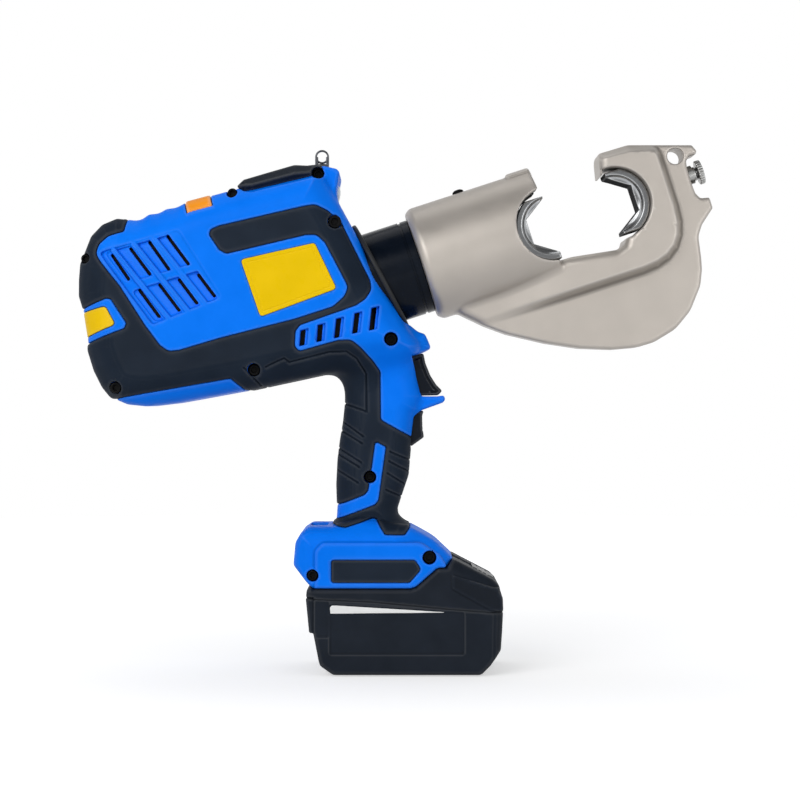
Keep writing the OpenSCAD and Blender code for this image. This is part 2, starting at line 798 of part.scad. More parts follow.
// Raised finger ridges on the grip's rear
ridge_count = 8;
ridge_rise = 0.6;
ridge_r = 1.4;
ridge_from_share = 0.36;
ridge_step_share = 0.07;
ridge_back_share = 0.05;
module grip_ridges() {
    for (i = [0:ridge_count - 1]) {
        z = foot_top + handle_h * (ridge_from_share + ridge_step_share * i);
        x = handle_x + handle_d * ridge_back_share;
        hull() for (k = [0, 1]) translate([x + k * ridge_r, -k * handle_w / 4, z + k * ridge_r])
            sphere(r = ridge_r + ridge_rise, $fn = mesh_fn / 2);
    }
}

module overmould() {
    $fn = mesh_fn;
    difference() {
        union() {
            dark_skin();
            intersection() {
                difference() {
                    half_of() grip_ridges();
                    handle_half(skin_t);
                }
                half(handle_points, handle_w + 2 * ridge_rise, handle_edge, -ridge_rise);
            }
        }
        control_cuts();
        vents();
        screw_cuts();
        mirror([0, 1, 0]) screw_cuts();
        half_of() label_solid();
        half_of() top_pad_solid();
        half_of() nose_and_fin();
        half(turret_points, turret_w, turret_edge);
    }
}

module both_halves() {
    children();
    mirror([0, 1, 0]) children();
}

module rear_inlay_skin() {
    points = placed(inlay_shares, [body_x, body_floor], [body_l, body_h]);
    difference() {
        intersection() {
            whole(body_points, body_w, body_edge);
            prism(points, body_w + 2 * overrun);
        }
        intersection() {
            whole(body_points, body_w, body_edge, skin_t);
            prism(points, body_w);
        }
    }
}

label_t = 0.8;
module label_solid() {
    intersection() {
        prism(placed(label_shares, [body_x, body_floor], [body_l, body_h]), body_w);
        box([2 * body_l, label_t, 2 * head_z], [-body_l, -body_w / 2, 0]);
    }
}

inlay_t = 1.5;
module foot_inlay_solid() {
    both_halves() intersection() {
        prism(placed(foot_inlay_shares, [foot_x, foot_floor], [foot_l, foot_h]), 2 * foot_w);
        box([2 * foot_l, inlay_t, 2 * foot_top], [-foot_l, -foot_w / 2, 0]);
    }
}

// Saddle over the body's top, as thick as the pad above it and a skin deep into it
pad_slope = atan2(body_points[2][1] - body_points[3][1], body_points[2][0] - body_points[3][0]);
module saddle_outline(out) {
    w = body_w / 2 + out;
    r = body_edge + out;
    polygon(rounded([[-w, -2 * body_edge, 0], [w, -2 * body_edge, 0], [w, out, r], [-w, out, r]]));
}

module top_pad_solid() {
    intersection() {
        translate([body_points[3][0], 0, body_points[3][1]]) rotate([90, 0, 90]) rotate([-pad_slope, 0, 0])
            translate([0, 0, -body_l / 2]) linear_extrude(body_l) difference() {
                saddle_outline(pad_t);
                saddle_outline(-skin_t);
            }
        prism(placed(pad_shares, [body_x, body_floor], [body_l, body_h]), body_w - body_edge);
    }
}

button_w = 66;
button_deep = 8;
button_lean = 16.5;
button_x_share = 0.337;
button_z_share = 0.847;
button_l = 15;
module on_button() {
    translate([body_x + body_l * button_x_share, 0, body_floor + body_h * button_z_share])
        rotate([0, -button_lean, 0]) children();
}

module button_well(play, deeper) {
    on_button() box([button_l + 2 * play, button_w + 2 * play, body_edge + button_deep + deeper],
        [-button_l / 2 - play, -button_w / 2 - play, -button_deep - deeper]);
}

module eye_solid(play) {
    translate([eye_x, 0, eye_z]) {
        across(eye_t + 2 * play, eye_r + play);
        box([2 * (eye_r + play), eye_t + 2 * play, eye_root], [-eye_r - play, -eye_t / 2 - play, -eye_root]);
    }
}

module lamp_cut() {
    translate([lens_x, 0, lens_z]) rotate([0, lens_lean, 0]) {
        rod(2 * lens_t, round_seat(lens_r), -lens_sink);
        rod(2 * lens_t, lens_r - overrun, -2 * lens_t);
    }
}

// Housing and trim
module housing_right() {
    color("royalblue") shell(true);
}

module housing_left() {
    color("royalblue") mirror([0, 1, 0]) shell(false);
}

module overmould_right() {
    color("darkslategray") overmould();
}

module overmould_left() {
    color("darkslategray") mirror([0, 1, 0]) overmould();
}

module housing_screws() {
    color("dimgray") for (i = [0:len(screw_points) - 1])
        translate([screw_points[i][0], screw_deep - screw_faces[i], screw_points[i][1]]) rotate([-90, 0, 0]) {
            difference() {
                cylinder(h = screw_head_t, r = screw_head_r);
                translate([0, 0, -overrun])
                    cylinder(h = overrun + screw_head_t / 2, r = screw_head_r / 2, $fn = 6);
            }
            cylinder(h = 2 * (screw_faces[i] - screw_deep), r = screw_r);
        }
}

module top_pad() {
    color("darkslategray") difference() {
        top_pad_solid();
        eye_solid(seat_fit);
    }
}

module hanging_eye() {
    color("dimgray") difference() {
        eye_solid(0);
        translate([eye_x, 0, eye_z]) across(eye_t + 2 * overrun, eye_bore_r);
    }
}

module rear_inlay() {
    color("gold") rear_inlay_skin();
}

module lamp_lens() {
    color("white") translate([lens_x, 0, lens_z]) rotate([0, lens_lean, 0]) rod(lens_t, lens_r, -lens_sink);
}

front_low = flat(body_points[1]);
front_high = flat(body_points[2]);
front_lean = atan2(front_low[0] - front_high[0], front_high[1] - front_low[1]);
collar_at = ((front_low[0] - head_x) * cos(front_lean) + (front_low[1] - head_z) * sin(front_lean))
    / cos(front_lean - axis_tilt);
module collar_disc(r, play) {
    on_axis() translate([collar_at, 0, 0]) rotate([0, axis_tilt - front_lean, 0])
        rod(collar_t + 2 * play, r, seat_fit - play);
}

module front_collar() {
    color("black") difference() {
        collar_disc(collar_r, 0);
        on_axis() rod(2 * neck_l, neck_r + seat_fit, -neck_l - collar_r);
    }
}

module label_plate() {
    color("gold") label_solid();
}

module foot_inlays() {
    color("darkslategray") foot_inlay_solid();
}

// Hydraulics
module neck_tube() {
    color("black") on_axis() difference() {
        union() {
            rod(flange_l, flange_r, -neck_l);
            rod(neck_l - neck_gap, neck_r, -neck_l);
            rod(neck_l + spigot_l, spigot_r - running_fit, -neck_l);
        }
        rod(neck_l + spigot_l + 2 * overrun, neck_bore_r, -neck_l - overrun);
        tube(ring_w + seat_fit, spigot_r + overrun, spigot_r - ring_in, ring_groove_at - seat_fit / 2);
        rotate([0, 90, 0]) rotate_extrude()
            translate([spigot_r - oring_r, oring_at]) circle(oring_r + seat_fit);
    }
}

module neck_seal() {
    color("black") on_axis() rotate([0, 90, 0]) rotate_extrude()
        translate([spigot_r - oring_r - seat_fit, oring_at])
        circle(oring_r);
}

module snap_ring() {
    color("silver") on_axis()
        tube(ring_w, spigot_r + ring_out, spigot_r - ring_in + seat_fit, ring_groove_at);
}

module pump_block() {
    color("slategray") difference() {
        on_axis() box([block_l, block_w, block_low + block_high], [block_at, -block_w / 2, -block_low]);
        on_drive() {
            rod(bearing_l + overrun, bearing_r, block_at - overrun);
            rod(chamber_l + bearing_l, chamber_r - seat_fit, block_at + bearing_l);
            translate([plunger_at, 0, plunger_foot - 2 * move_gap])
                cylinder(h = -plunger_foot, r = plunger_r + running_fit);
        }
        on_axis() {
            rod(block_l, oil_way_r, plunger_at);
            translate([valve_at, 0, -block_low - overrun]) cylinder(h = valve_l, r = valve_r + seat_fit);
        }
    }
}

module pump_plunger() {
    color("silver") on_drive()
        translate([plunger_at, 0, plunger_foot]) cylinder(h = plunger_l, r = plunger_r);
}

module valve_box(play) {
    translate([valve_at, 0, -block_low - valve_l / 2 - play])
        cylinder(h = valve_l + 2 * play, r = valve_r + play);
}

module relief_valve() {
    color("goldenrod") on_axis() {
        translate([valve_at, 0, -block_low - valve_l / 4]) cylinder(h = valve_l, r = valve_r);
        translate([valve_at, 0, -block_low - valve_l / 2]) cylinder(h = valve_l / 4, r = valve_r, $fn = 6);
    }
}

module reservoir_box(play) {
    box([reservoir_l + 2 * play, reservoir_w + 2 * play, reservoir_t + 2 * play],
        [block_at - play, -reservoir_w / 2 - play, block_high + seat_fit - play]);
}

module oil_reservoir() {
    color("black") on_axis() reservoir_box(0);
}

// Drive
module motor_can() {
    color("silver") on_drive() difference() {
        rod(motor_l - bell_l, motor_r, motor_at + bell_l);
        rod(motor_l - bell_l - can_wall + overrun, motor_r - can_wall, motor_at + bell_l - overrun);
        rod(motor_l, shaft_r + 2 * move_gap, motor_at + motor_l / 2);
    }
}

module motor_end_bell() {
    color("dimgray") on_drive() difference() {
        rod(bell_l, motor_r, motor_at);
        rod(2 * bell_l, bearing_r, motor_at - bell_l / 2);
    }
}

module shaft_bearings() {
    color("lightsteelblue") on_drive() {
        tube(bell_l, bearing_r, shaft_r + running_fit, motor_at);
        tube(bearing_l, bearing_r, shaft_r + running_fit, block_at);
    }
}

module rotor() {
    color("peru") on_drive() {
        rod(gear_at + gear_w - fan_at, shaft_r, fan_at);
        rod(motor_l - bell_l - can_wall - 2 * armature_gap, armature_r, motor_at + bell_l + armature_gap);
        translate([gear_at, 0, 0]) spur(sun_teeth, gear_w);
    }
}

module fan() {
    color("dimgray") on_drive() difference() {
        union() {
            rod(fan_l - 2 * overrun, fan_hub_r, fan_at);
            rod(blade_t, fan_r, fan_at + fan_l - 2 * overrun - blade_t);
            for (i = [0:fan_blades - 1]) rotate([360 * i / fan_blades, 0, 0])
                box([fan_l - 2 * overrun, blade_t, fan_r - shaft_r - overrun],
                    [fan_at, -blade_t / 2, shaft_r + overrun]);
        }
        rod(2 * fan_l, shaft_r, fan_at - fan_l / 2);
    }
}

module gear_case() {
    color("slategray") on_drive() difference() {
        rod(gearcase_l, gearcase_r, gearcase_at);
        rod(gearcase_l - 2 * case_floor, ring_outer_r + seat_fit, gearcase_at + case_floor);
        rod(gearcase_l, bearing_r, gearcase_at + gearcase_l / 2);
        rod(gearcase_l, sun_hole, gearcase_at - gearcase_l / 2);
    }
}

sun_hole = gear_module * (sun_teeth / 2 + addendum_share) + move_gap;
module ring_gear() {
    pitch_r = gear_module * ring_teeth / 2;
    color("gray") on_drive() difference() {
        rod(gear_at + gear_w - gearcase_at - case_floor, ring_outer_r, gearcase_at + case_floor);
        translate([gear_at - gearcase_l, 0, 0]) rotate([0, 90, 0]) linear_extrude(2 * gearcase_l)
            polygon(gear_points(ring_teeth, pitch_r - addendum_share * gear_module,
                pitch_r + dedendum_share * gear_module, -backlash_share * gear_module / 2, 0));
    }
}

module planet_carrier() {
    color("darkgray") on_drive() {
        rod(carrier_t, carrier_r, carrier_at);
        rod(block_at + bearing_l + chamber_l - carrier_at, shaft_r, carrier_at);
        for (i = [0:2]) rotate([-120 * i, 0, 0]) translate([0, 0, -orbit_r])
            rod(carrier_at + carrier_t - gear_at, planet_pin_r, gear_at);
    }
}

module eccentric() {
    color("silver") on_drive() difference() {
        translate([0, 0, -cam_throw]) rod(cam_l, cam_r, plunger_at - cam_l / 2);
        rod(2 * cam_l, shaft_r, plunger_at - cam_l);
    }
}

// Planet i of three, with a tooth pointing at the ring's gap; local angles run from -Z
module planet(i) {
    color("gray") on_drive() rotate([-120 * i, 0, 0]) translate([gear_at, 0, -orbit_r]) difference() {
        spur(planet_teeth, gear_w);
        rod(2 * gear_w, planet_pin_r + running_fit, -gear_w / 2);
    }
}

module planet_gear_1() {
    planet(0);
}

module planet_gear_2() {
    planet(1);
}

module planet_gear_3() {
    planet(2);
}

module board_box(play) {
    box([board_l + 2 * play, board_w + 2 * play, board_t + 2 * play],
        [motor_at - play, -board_w / 2 - play, drive_rise - motor_r + board_drop - play]);
}

board_drop = -6;
module controller_board() {
    color("darkgreen") on_axis() board_box(0);
}

// Controls
module trigger() {
    color("darkslategray") slab(trigger_w)
        polygon(rounded(placed(trigger_shares, [trigger_x, trigger_z], [trigger_d, trigger_h])));
}

module switch_box(play) {
    box([switch_l + 2 * play, switch_w + 2 * play, switch_h + 2 * play],
        [switch_x - play, -switch_w / 2 - play, trigger_z - play]);
}

module trigger_switch() {
    color("black") switch_box(0);
}

module trigger_spring() {
    color("silver") translate([switch_x + switch_l, 0, trigger_z + trigger_h / 2])
        coil(trigger_travel + move_gap, switch_w / 6, spring_wire, 3);
}

module retract_lever() {
    color("darkslategray") difference() {
        slab(lever_w) polygon(rounded(placed(lever_shares, [lever_x, lever_z], [lever_d, lever_h])));
        translate([lever_pin_x, 0, lever_pin_z]) across(2 * lever_w, lever_pin_r + running_fit);
    }
}

module retract_pin() {
    color("silver") translate([lever_pin_x, 0, lever_pin_z]) across(lever_pin_l, lever_pin_r);
}

module retract_box(play) {
    box([retract_switch_l + 2 * play, retract_switch_w + 2 * play, retract_switch_h + 2 * play],
        [retract_x - play, -retract_switch_w / 2 - play, lever_z - play]);
}

module retract_switch() {
    color("black") retract_box(0);
}

module release_button() {
    color("orange") on_button() rotate([90, 0, 90]) translate([0, 0, -button_l / 2]) linear_extrude(button_l)
        intersection() {
            saddle_outline(0);
            translate([-button_w / 2, -button_deep]) square([button_w, 2 * button_deep]);
        }
}

module loom_rod(play) {
    low = [terminal_x + terminal_l - 2 * loom_r, 0, terminal_z + terminal_h];
    high = [switch_x + switch_l / 2, 0, trigger_z];
    translate(low) rotate([0, atan2(high[0] - low[0], high[2] - low[2]), 0])
        cylinder(h = norm(high - low), r = loom_r + play);
}

module wire_loom() {
    color("black") difference() {
        loom_rod(0);
        terminal_box(seat_fit);
        switch_box(seat_fit);
    }
}

terminal_x = tongue_x + overrun;
terminal_l = 14;
terminal_w = 36;
terminal_h = 12;
terminal_z = foot_floor + tongue_h;
module terminal_box(play) {
    box([terminal_l + 2 * play, terminal_w + 2 * play, terminal_h + 2 * play],
        [terminal_x - play, -terminal_w / 2 - play, terminal_z - play]);
}

module terminal_block() {
    color("black") {
        terminal_box(0);
        for (s = [-1, 1]) box([blade_l, blade_thick, tongue_h - overrun],
            [terminal_x, s * blade_y - blade_thick / 2, foot_floor + overrun]);
    }
}

// Head
function head_points(shares) = rounded(placed(shares, [0, -head_drop], [head_reach, head_h]), 0, 6);

module seat(at, play = 0) {
    translate([at, 0, -seat_drop]) across(2 * head_r + ridge_w, seat_r + play);
}

module c_head() {
    color("silver") on_axis() difference() {
        union() {
            rod(head_l - head_chamfer_l, head_r, head_chamfer_l);
            rotate([0, 90, 0]) cylinder(h = head_chamfer_l, r1 = head_r - head_chamfer, r2 = head_r);
            slab(web_w) polygon(head_points(web_shares));
            slab(ridge_w) polygon(head_points(ridge_shares));
            intersection() {
                rod(lip_l, head_r + lip_t, head_l - lip_l);
                box([lip_l, lip_w, 2 * head_r], [head_l - lip_l, -lip_w / 2, 0]);
            }
        }
        rod(bore_at + overrun, spigot_r, -overrun);
        tube(ring_w + 2 * move_gap, spigot_r + ring_out + move_gap, spigot_r - overrun,
            ring_groove_at - move_gap);
        rod(head_l, bore_r, bore_at);
        seat(rear_seat_at, move_gap);
        seat(front_seat_at);
        translate([head_reach * hang_shares[0], 0, head_h * hang_shares[1] - head_drop])
            across(ridge_w + 2 * overrun, hang_bore / 2);
        translate([0, 0, knob_z]) {
            rod(knob_face - front_seat_at, knob_stem_r + running_fit, front_seat_at);
            rod(sleeve_l + overrun, sleeve_r, knob_face - sleeve_l);
        }
        translate([cap_screw_at, 0, head_r - cap_screw_deep])
            cylinder(h = 2 * cap_screw_deep, r = cap_screw_r / 2);
    }
}

// Half-round die that opens to the rear, its middle on the seat's middle
module die() {
    side = hex_flats * tan(30) / 2;
    mouth = side + tan(die_flare) * hex_flats / 2;
    translate([0, 0, -seat_drop]) intersection() {
        difference() {
            across(die_w, seat_r - seat_fit);
            slab(die_w + 2 * overrun) polygon([[-overrun, -mouth], [0, -mouth], [hex_flats / 2, -side],
                [hex_flats / 2, side], [0, mouth], [-overrun, mouth]]);
        }
        box([seat_r, die_w, 2 * seat_r], [0, -die_w / 2, -seat_r]);
    }
}

module fixed_die() {
    color("gray") on_axis() difference() {
        translate([front_seat_at, 0, 0]) die();
        translate([0, 0, knob_z]) rod(2 * pin_into_die, knob_stem_r + running_fit,
            front_seat_at + seat_r - pin_into_die - overrun);
    }
}

module head_cap_screw() {
    dome_r = (cap_screw_r * cap_screw_r + cap_screw_h * cap_screw_h) / (2 * cap_screw_h);
    color("black") on_axis() translate([cap_screw_at, 0, head_r]) {
        intersection() {
            translate([0, 0, cap_screw_h - dome_r]) sphere(r = dome_r);
            cylinder(h = cap_screw_h, r = cap_screw_r);
        }
        translate([0, 0, -cap_screw_deep + seat_fit])
            cylinder(h = cap_screw_deep, r = cap_screw_r / 2 - seat_fit);
    }
}

// Sleeve in the head's nose, around the die lock's stem and its spring
module knob_sleeve() {
    color("dimgray") on_axis() translate([0, 0, knob_z]) difference() {
        rod(sleeve_l + sleeve_out, sleeve_r - seat_fit, knob_face - sleeve_l + seat_fit);
        rod(sleeve_l, sleeve_r - sleeve_wall, knob_face - sleeve_l - overrun);
        rod(2 * sleeve_l, knob_stem_r + running_fit, knob_face - sleeve_l);
    }
}

module knob_spring() {
    color("silver") on_axis() translate([knob_face - sleeve_l + stem_flange_t + 2 * seat_fit, 0, knob_z])
        coil(sleeve_l - overrun - stem_flange_t - 3 * seat_fit, (sleeve_r - sleeve_wall + knob_stem_r) / 2,
            spring_wire, 4);
}

module die_lock_knob() {
    tip = front_seat_at + seat_r - pin_into_die;
    color("dimgray") on_axis() translate([0, 0, knob_z]) difference() {
        union() {
            rod(knob_face + knob_stand - tip, knob_stem_r, tip);
            rod(stem_flange_t, sleeve_r - sleeve_wall - move_gap, knob_face - sleeve_l + seat_fit);
            rod(knob_t, knob_r, knob_face + knob_stand);
        }
        for (i = [0:knob_notches - 1]) rotate([360 * i / knob_notches, 0, 0]) translate([0, 0, knob_r])
            rod(knob_t + 2 * overrun, notch_r, knob_face + knob_stand - overrun);
    }
}

// Ram
module ram() {
    color("silver") on_axis() difference() {
        rod(head_l - ram_setback - ram_tail_at, ram_r, ram_tail_at);
        rod(ram_hollow_l + overrun, ram_hollow_r, ram_tail_at - overrun);
        seat(rear_seat_at);
        tube(seal_w + seat_fit, ram_r + overrun, ram_r - seal_depth, seal_at - seat_fit / 2);
    }
}

module piston_seal() {
    color("black") on_axis() tube(seal_w, ram_r, ram_r - seal_depth + seat_fit, seal_at);
}

module moving_die() {
    color("gray") on_axis() translate([rear_seat_at, 0, 0]) mirror([1, 0, 0]) die();
}

module return_spring() {
    color("silver") on_axis() translate([spigot_l + seat_fit, 0, 0])
        coil(ram_tail_at + ram_hollow_l - spigot_l - 2 * seat_fit, ram_hollow_r - 4 * spring_wire,
            2 * spring_wire, 8);
}

// Battery
module battery_lower_case() {
    points = placed(lower_shares, [0, 0], [battery_l, battery_h]);
    color("dimgray") difference() {
        slab(battery_w) polygon(rounded(points));
        for (rise = [0, 2 * case_wall]) translate([0, 0, rise])
            slab(battery_w - 2 * case_wall) polygon(rounded(points, case_wall));
    }
}

module battery_upper_case() {
    points = placed(upper_shares, [0, 0], [battery_l, battery_h]);
    color("dimgray") difference() {
        union() {
            difference() {
                union() {
                    prism(points, battery_w);
                    tongue(0, tongue_l);
                }
                prism([for (p = points) [p[0] * upper_hollow_share, p[1] - case_wall]],
                    battery_w - 2 * case_wall);
            }
            box([latch_l + shelf_reach, latch_w, shelf_t], [latch_x, -latch_w / 2, shelf_z]);
        }
        for (s = [-1, 1]) box([blade_l + 4 * overrun, blade_thick + 2 * (clip_gap + clip_t), 2 * tongue_h],
            [tongue_x - overrun, s * blade_y - blade_thick / 2 - clip_gap - clip_t, battery_h]);
        box([latch_l + shelf_reach, latch_w + 2 * move_gap, battery_h],
            [latch_x - move_gap, -latch_w / 2 - move_gap, shelf_z + shelf_t]);
        box([tooth_l + 2 * move_gap, tooth_w + 2 * move_gap, battery_h],
            [tooth_x - move_gap, -tooth_w / 2 - move_gap, shelf_z + shelf_t]);
    }
}

module battery_cells() {
    color("mediumseagreen") for (i = [0:cell_columns - 1], j = [0:cell_rows - 1])
        translate([(i - (cell_columns - 1) / 2) * cell_pitch, 0, cell_floor + cell_r + j * cell_pitch])
            across(cell_l, cell_r);
}

module cell_holders() {
    color("black") for (s = [-1, 1]) difference() {
        box([cell_columns * cell_pitch, holder_t, cell_pitch],
            [-cell_columns * cell_pitch / 2, s * holder_y - holder_t / 2, cell_floor + cell_r]);
        for (i = [0:cell_columns - 1], j = [0:cell_rows - 1])
            translate([(i - (cell_columns - 1) / 2) * cell_pitch, 0, cell_floor + cell_r + j * cell_pitch])
                across(2 * cell_l, cell_r + seat_fit);
    }
}

module battery_board() {
    color("darkgreen") box([board_l, board_w, board_t],
        [tongue_x, -board_w / 2, cell_floor + 2 * cell_r + cell_pitch + seat_fit]);
}

// Two spring clips beside each blade of the tool's terminal block
module battery_terminals() {
    color("goldenrod") for (s = [-1, 1], t = [-1, 1])
        translate([tongue_x, s * blade_y + t * (blade_thick / 2 + clip_gap + clip_t / 2), battery_h])
            box([blade_l, clip_t, clip_h], [0, -clip_t / 2, 0]);
}

// Nickel straps that join the cells' ends
module cell_straps() {
    color("silver") for (s = [-1, 1], j = [0:cell_rows - 1])
        translate([0, s * (cell_l / 2 + strap_t / 2), cell_floor + cell_r + j * cell_pitch])
            box([(cell_columns - 1) * cell_pitch + cell_r, strap_t, cell_r],
                [-(cell_columns - 1) * cell_pitch / 2 - cell_r / 2, -strap_t / 2, -cell_r / 2]);
}

// Button in the front corner of the upper case, with an arm to the tooth that catches the foot
module latch_button() {
    points = placed(latch_shares, [latch_x, latch_z], [latch_l, latch_h]);
    color("black") {
        prism(points, latch_w);
        box([latch_x - tooth_x + overrun, tooth_w, arm_t], [tooth_x, -tooth_w / 2, latch_z]);
        box([tooth_l, tooth_w, tooth_z - latch_z], [tooth_x, -tooth_w / 2, latch_z]);
    }
}

module latch_spring() {
    color("silver") translate([latch_x + latch_l / 2, 0, shelf_z + shelf_t]) rotate([0, -90, 0])
        coil(latch_z - shelf_z - shelf_t, latch_l / 4, spring_wire, 3);
}

housing_right();
housing_left();
overmould_right();
overmould_left();
housing_screws();
top_pad();
hanging_eye();
rear_inlay();
lamp_lens();
front_collar();
label_plate();
foot_inlays();
neck_tube();
neck_seal();
snap_ring();
pump_block();
pump_plunger();
relief_valve();
oil_reservoir();
motor_can();
motor_end_bell();
gear_case();
ring_gear();
shaft_bearings();
controller_board();
trigger_switch();
trigger_spring();
retract_switch();
retract_pin();
wire_loom();
terminal_block();
c_head();
fixed_die();
head_cap_screw();
knob_sleeve();
knob_spring();
ram();
piston_seal();
moving_die();
return_spring();
die_lock_knob();
rotor();
fan();
planet_carrier();
eccentric();
planet_gear_1();
planet_gear_2();
planet_gear_3();
trigger();
retract_lever();
release_button();
battery_upper_case();
battery_lower_case();
battery_cells();
cell_holders();
battery_board();
battery_terminals();
cell_straps();
latch_button();
latch_spring();
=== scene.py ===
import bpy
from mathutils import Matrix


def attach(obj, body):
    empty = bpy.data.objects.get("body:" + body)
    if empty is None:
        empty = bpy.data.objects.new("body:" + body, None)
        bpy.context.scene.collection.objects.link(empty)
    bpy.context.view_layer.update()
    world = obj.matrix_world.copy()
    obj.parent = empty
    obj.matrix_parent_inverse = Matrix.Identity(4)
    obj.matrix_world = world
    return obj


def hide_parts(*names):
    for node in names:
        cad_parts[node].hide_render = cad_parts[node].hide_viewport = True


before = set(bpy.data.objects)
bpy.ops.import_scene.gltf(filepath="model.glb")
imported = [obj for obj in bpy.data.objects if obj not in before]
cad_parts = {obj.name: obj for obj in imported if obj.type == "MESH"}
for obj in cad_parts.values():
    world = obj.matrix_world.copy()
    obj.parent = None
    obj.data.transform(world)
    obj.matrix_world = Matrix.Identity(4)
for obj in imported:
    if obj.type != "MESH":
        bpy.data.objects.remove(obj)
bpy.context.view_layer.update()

import copy
import functools
import math

import bpy
import numpy as np
import openvdb
from mathutils import Vector

# Lengths are millimetres here and become metres as a mesh is made.
MM = 0.001

# Sides of the sample cells: for the housing, small pieces, the head and the battery
STEP = 0.5
FINE = 0.3
HEAD_STEP = 0.6
PACK_STEP = 0.6

# Meshing: a field is cut off this many cells from its surface, flat places are merged by this share,
# normals are read this many cells to each side, and edges are found over this many millimetres.
FIELD_BAND = 4
MERGE = 0.004
NORMAL_REACH = 0.7
EDGE_REACH = 1.2

# The photograph's frame: millimetres to a pixel on the middle plane, the eye's distance in millimetres,
# the picture's width and middle in pixels, and the point that the eye faces
PIXEL = 0.59
EYE = 1200.0
PICTURE = 800
MIDDLE = PICTURE / 2
AIM_X, AIM_Z = -4.1, 158.1

# The ram axis
TILT = math.radians(18)
HEAD_X, HEAD_Z = 8.3, 237.4


def photo(points, y):
    """Points of the photograph, in pixels, as X and Z on a plane across the tool; a third number stays."""
    k = PIXEL * (1 + y / EYE)
    return [((p[0] - MIDDLE) * k + AIM_X, AIM_Z - (p[1] - MIDDLE) * k, *p[2:]) for p in points]


def axis_place(a, b):
    """X and Z of a point along and above the ram axis."""
    x = HEAD_X + a * math.cos(TILT) - b * math.sin(TILT)
    z = HEAD_Z + a * math.sin(TILT) + b * math.cos(TILT)
    return x, z


def turned(x, z, cx, cz, lean):
    """Coordinates about a point, turned by an angle."""
    along = (x - cx) * math.cos(lean) + (z - cz) * math.sin(lean)
    above = -(x - cx) * math.sin(lean) + (z - cz) * math.cos(lean)
    return along, above


# Fields: arrays of signed distances on a block of sample points
class Space:
    """A block of sample points, as three arrays of coordinates that broadcast together."""

    def __init__(self, low, high, step=STEP):
        axes = [np.arange(a, b + step, step, dtype=np.float32) for a, b in zip(low, high)]
        self.x = axes[0][:, None, None]
        self.y = axes[1][None, :, None]
        self.z = axes[2][None, None, :]
        self.low = np.array(low, np.float32)
        self.step = step

    def part(self, low, high):
        """The slices that pick a smaller block out of this one, and that block."""
        first = [max(int((a - b) / self.step), 0) for a, b in zip(low, self.low)]
        last = [int((a - b) / self.step) + 1 for a, b in zip(high, self.low)]
        cuts = tuple(slice(a, b) for a, b in zip(first, last))
        block = copy.copy(self)
        block.x = self.x[cuts[0]]
        block.y = self.y[:, cuts[1]]
        block.z = self.z[:, :, cuts[2]]
        block.low = self.low + np.array(first, np.float32) * self.step
        return cuts, block


# A field with nothing in it
EMPTY = np.full((1, 1, 1), 1e3, np.float32)


def fillet(points, parts=6):
    """A closed outline with its corners rounded; a third number of a point is its radius."""
    out = []
    for i, point in enumerate(points):
        three = (points[i - 1], point, points[(i + 1) % len(points)])
        before, corner, after = (np.array(p[:2], float) for p in three)
        radius = point[2] if len(point) > 2 else 0.0
        back, ahead = before - corner, after - corner
        back_size, ahead_size = np.hypot(*back), np.hypot(*ahead)
        back, ahead = back / back_size, ahead / ahead_size
        half = math.acos(np.clip(back @ ahead, -1, 1)) / 2
        reach = min(radius / max(math.tan(half), 1e-6), 0.48 * min(back_size, ahead_size))
        if reach < 0.02 or half > 1.5:
            out.append(tuple(corner))
            continue
        start, end = corner + back * reach, corner + ahead * reach
        for t in np.linspace(0, 1, parts + 1):
            out.append(tuple((1 - t) ** 2 * start + 2 * t * (1 - t) * corner + t * t * end))
    return out


def outline(x, z, points):
    """Signed distance to a closed outline in two coordinates."""
    d = np.full(np.broadcast(x, z).shape, 1e9, np.float32)
    inside = np.zeros(d.shape, bool)
    for (ax, az), (bx, bz) in zip(points, points[1:] + points[:1]):
        ex, ez = bx - ax, bz - az
        size = ex * ex + ez * ez
        if size < 1e-9:
            continue
        wx, wz = x - np.float32(ax), z - np.float32(az)
        t = np.clip((wx * np.float32(ex) + wz * np.float32(ez)) / np.float32(size), 0, 1)
        d = np.minimum(d, (wx - np.float32(ex) * t) ** 2 + (wz - np.float32(ez) * t) ** 2)
        if abs(ez) > 1e-9:
            inside ^= ((az > z) != (bz > z)) & (wx < np.float32(ex / ez) * wz)
    return np.where(inside, -np.sqrt(d), np.sqrt(d))


def joined(*fields):
    """What lies in any of the fields."""
    return functools.reduce(np.minimum, fields)


def shared(*fields):
    """What lies in all of the fields."""
    return functools.reduce(np.maximum, fields)


def smin(a, b, k):
    """Two fields joined, with a blend as wide as k."""
    h = np.maximum(k - np.abs(a - b), 0) / k
    return np.minimum(a, b) - h * h * k / 4


def smax(a, b, k):
    """What two fields share, with a blend as wide as k."""
    return -smin(-a, -b, k)


def smooth_step(t):
    """A share from 0 to 1 that starts and ends level."""
    t = np.clip(t, 0, 1)
    return t * t * (3 - 2 * t)


def extrude(d, across, half, r):
    """A two-coordinate field made a solid of the given half width, its edges rounded."""
    p, q = d + r, np.abs(across) - half + r
    return np.minimum(np.maximum(p, q), 0) + np.hypot(np.maximum(p, 0), np.maximum(q, 0)) - r


def bevel(d, across, half, size):
    """A cut at 45 degrees along the edge between a two-coordinate field and its side faces."""
    return (d + np.abs(across) - half + size) * math.sqrt(0.5)


def bar(x, z, p, q, r):
    """Distance to a thick line between two points."""
    ex, ez = q[0] - p[0], q[1] - p[1]
    wx, wz = x - np.float32(p[0]), z - np.float32(p[1])
    t = np.clip((wx * ex + wz * ez) / (ex * ex + ez * ez), 0, 1)
    return np.hypot(wx - ex * t, wz - ez * t) - r


def slant(s, p, q):
    """Distance along X past the line through two points."""
    return s.x - p[0] - (s.z - p[1]) * (q[0] - p[0]) / (q[1] - p[1])


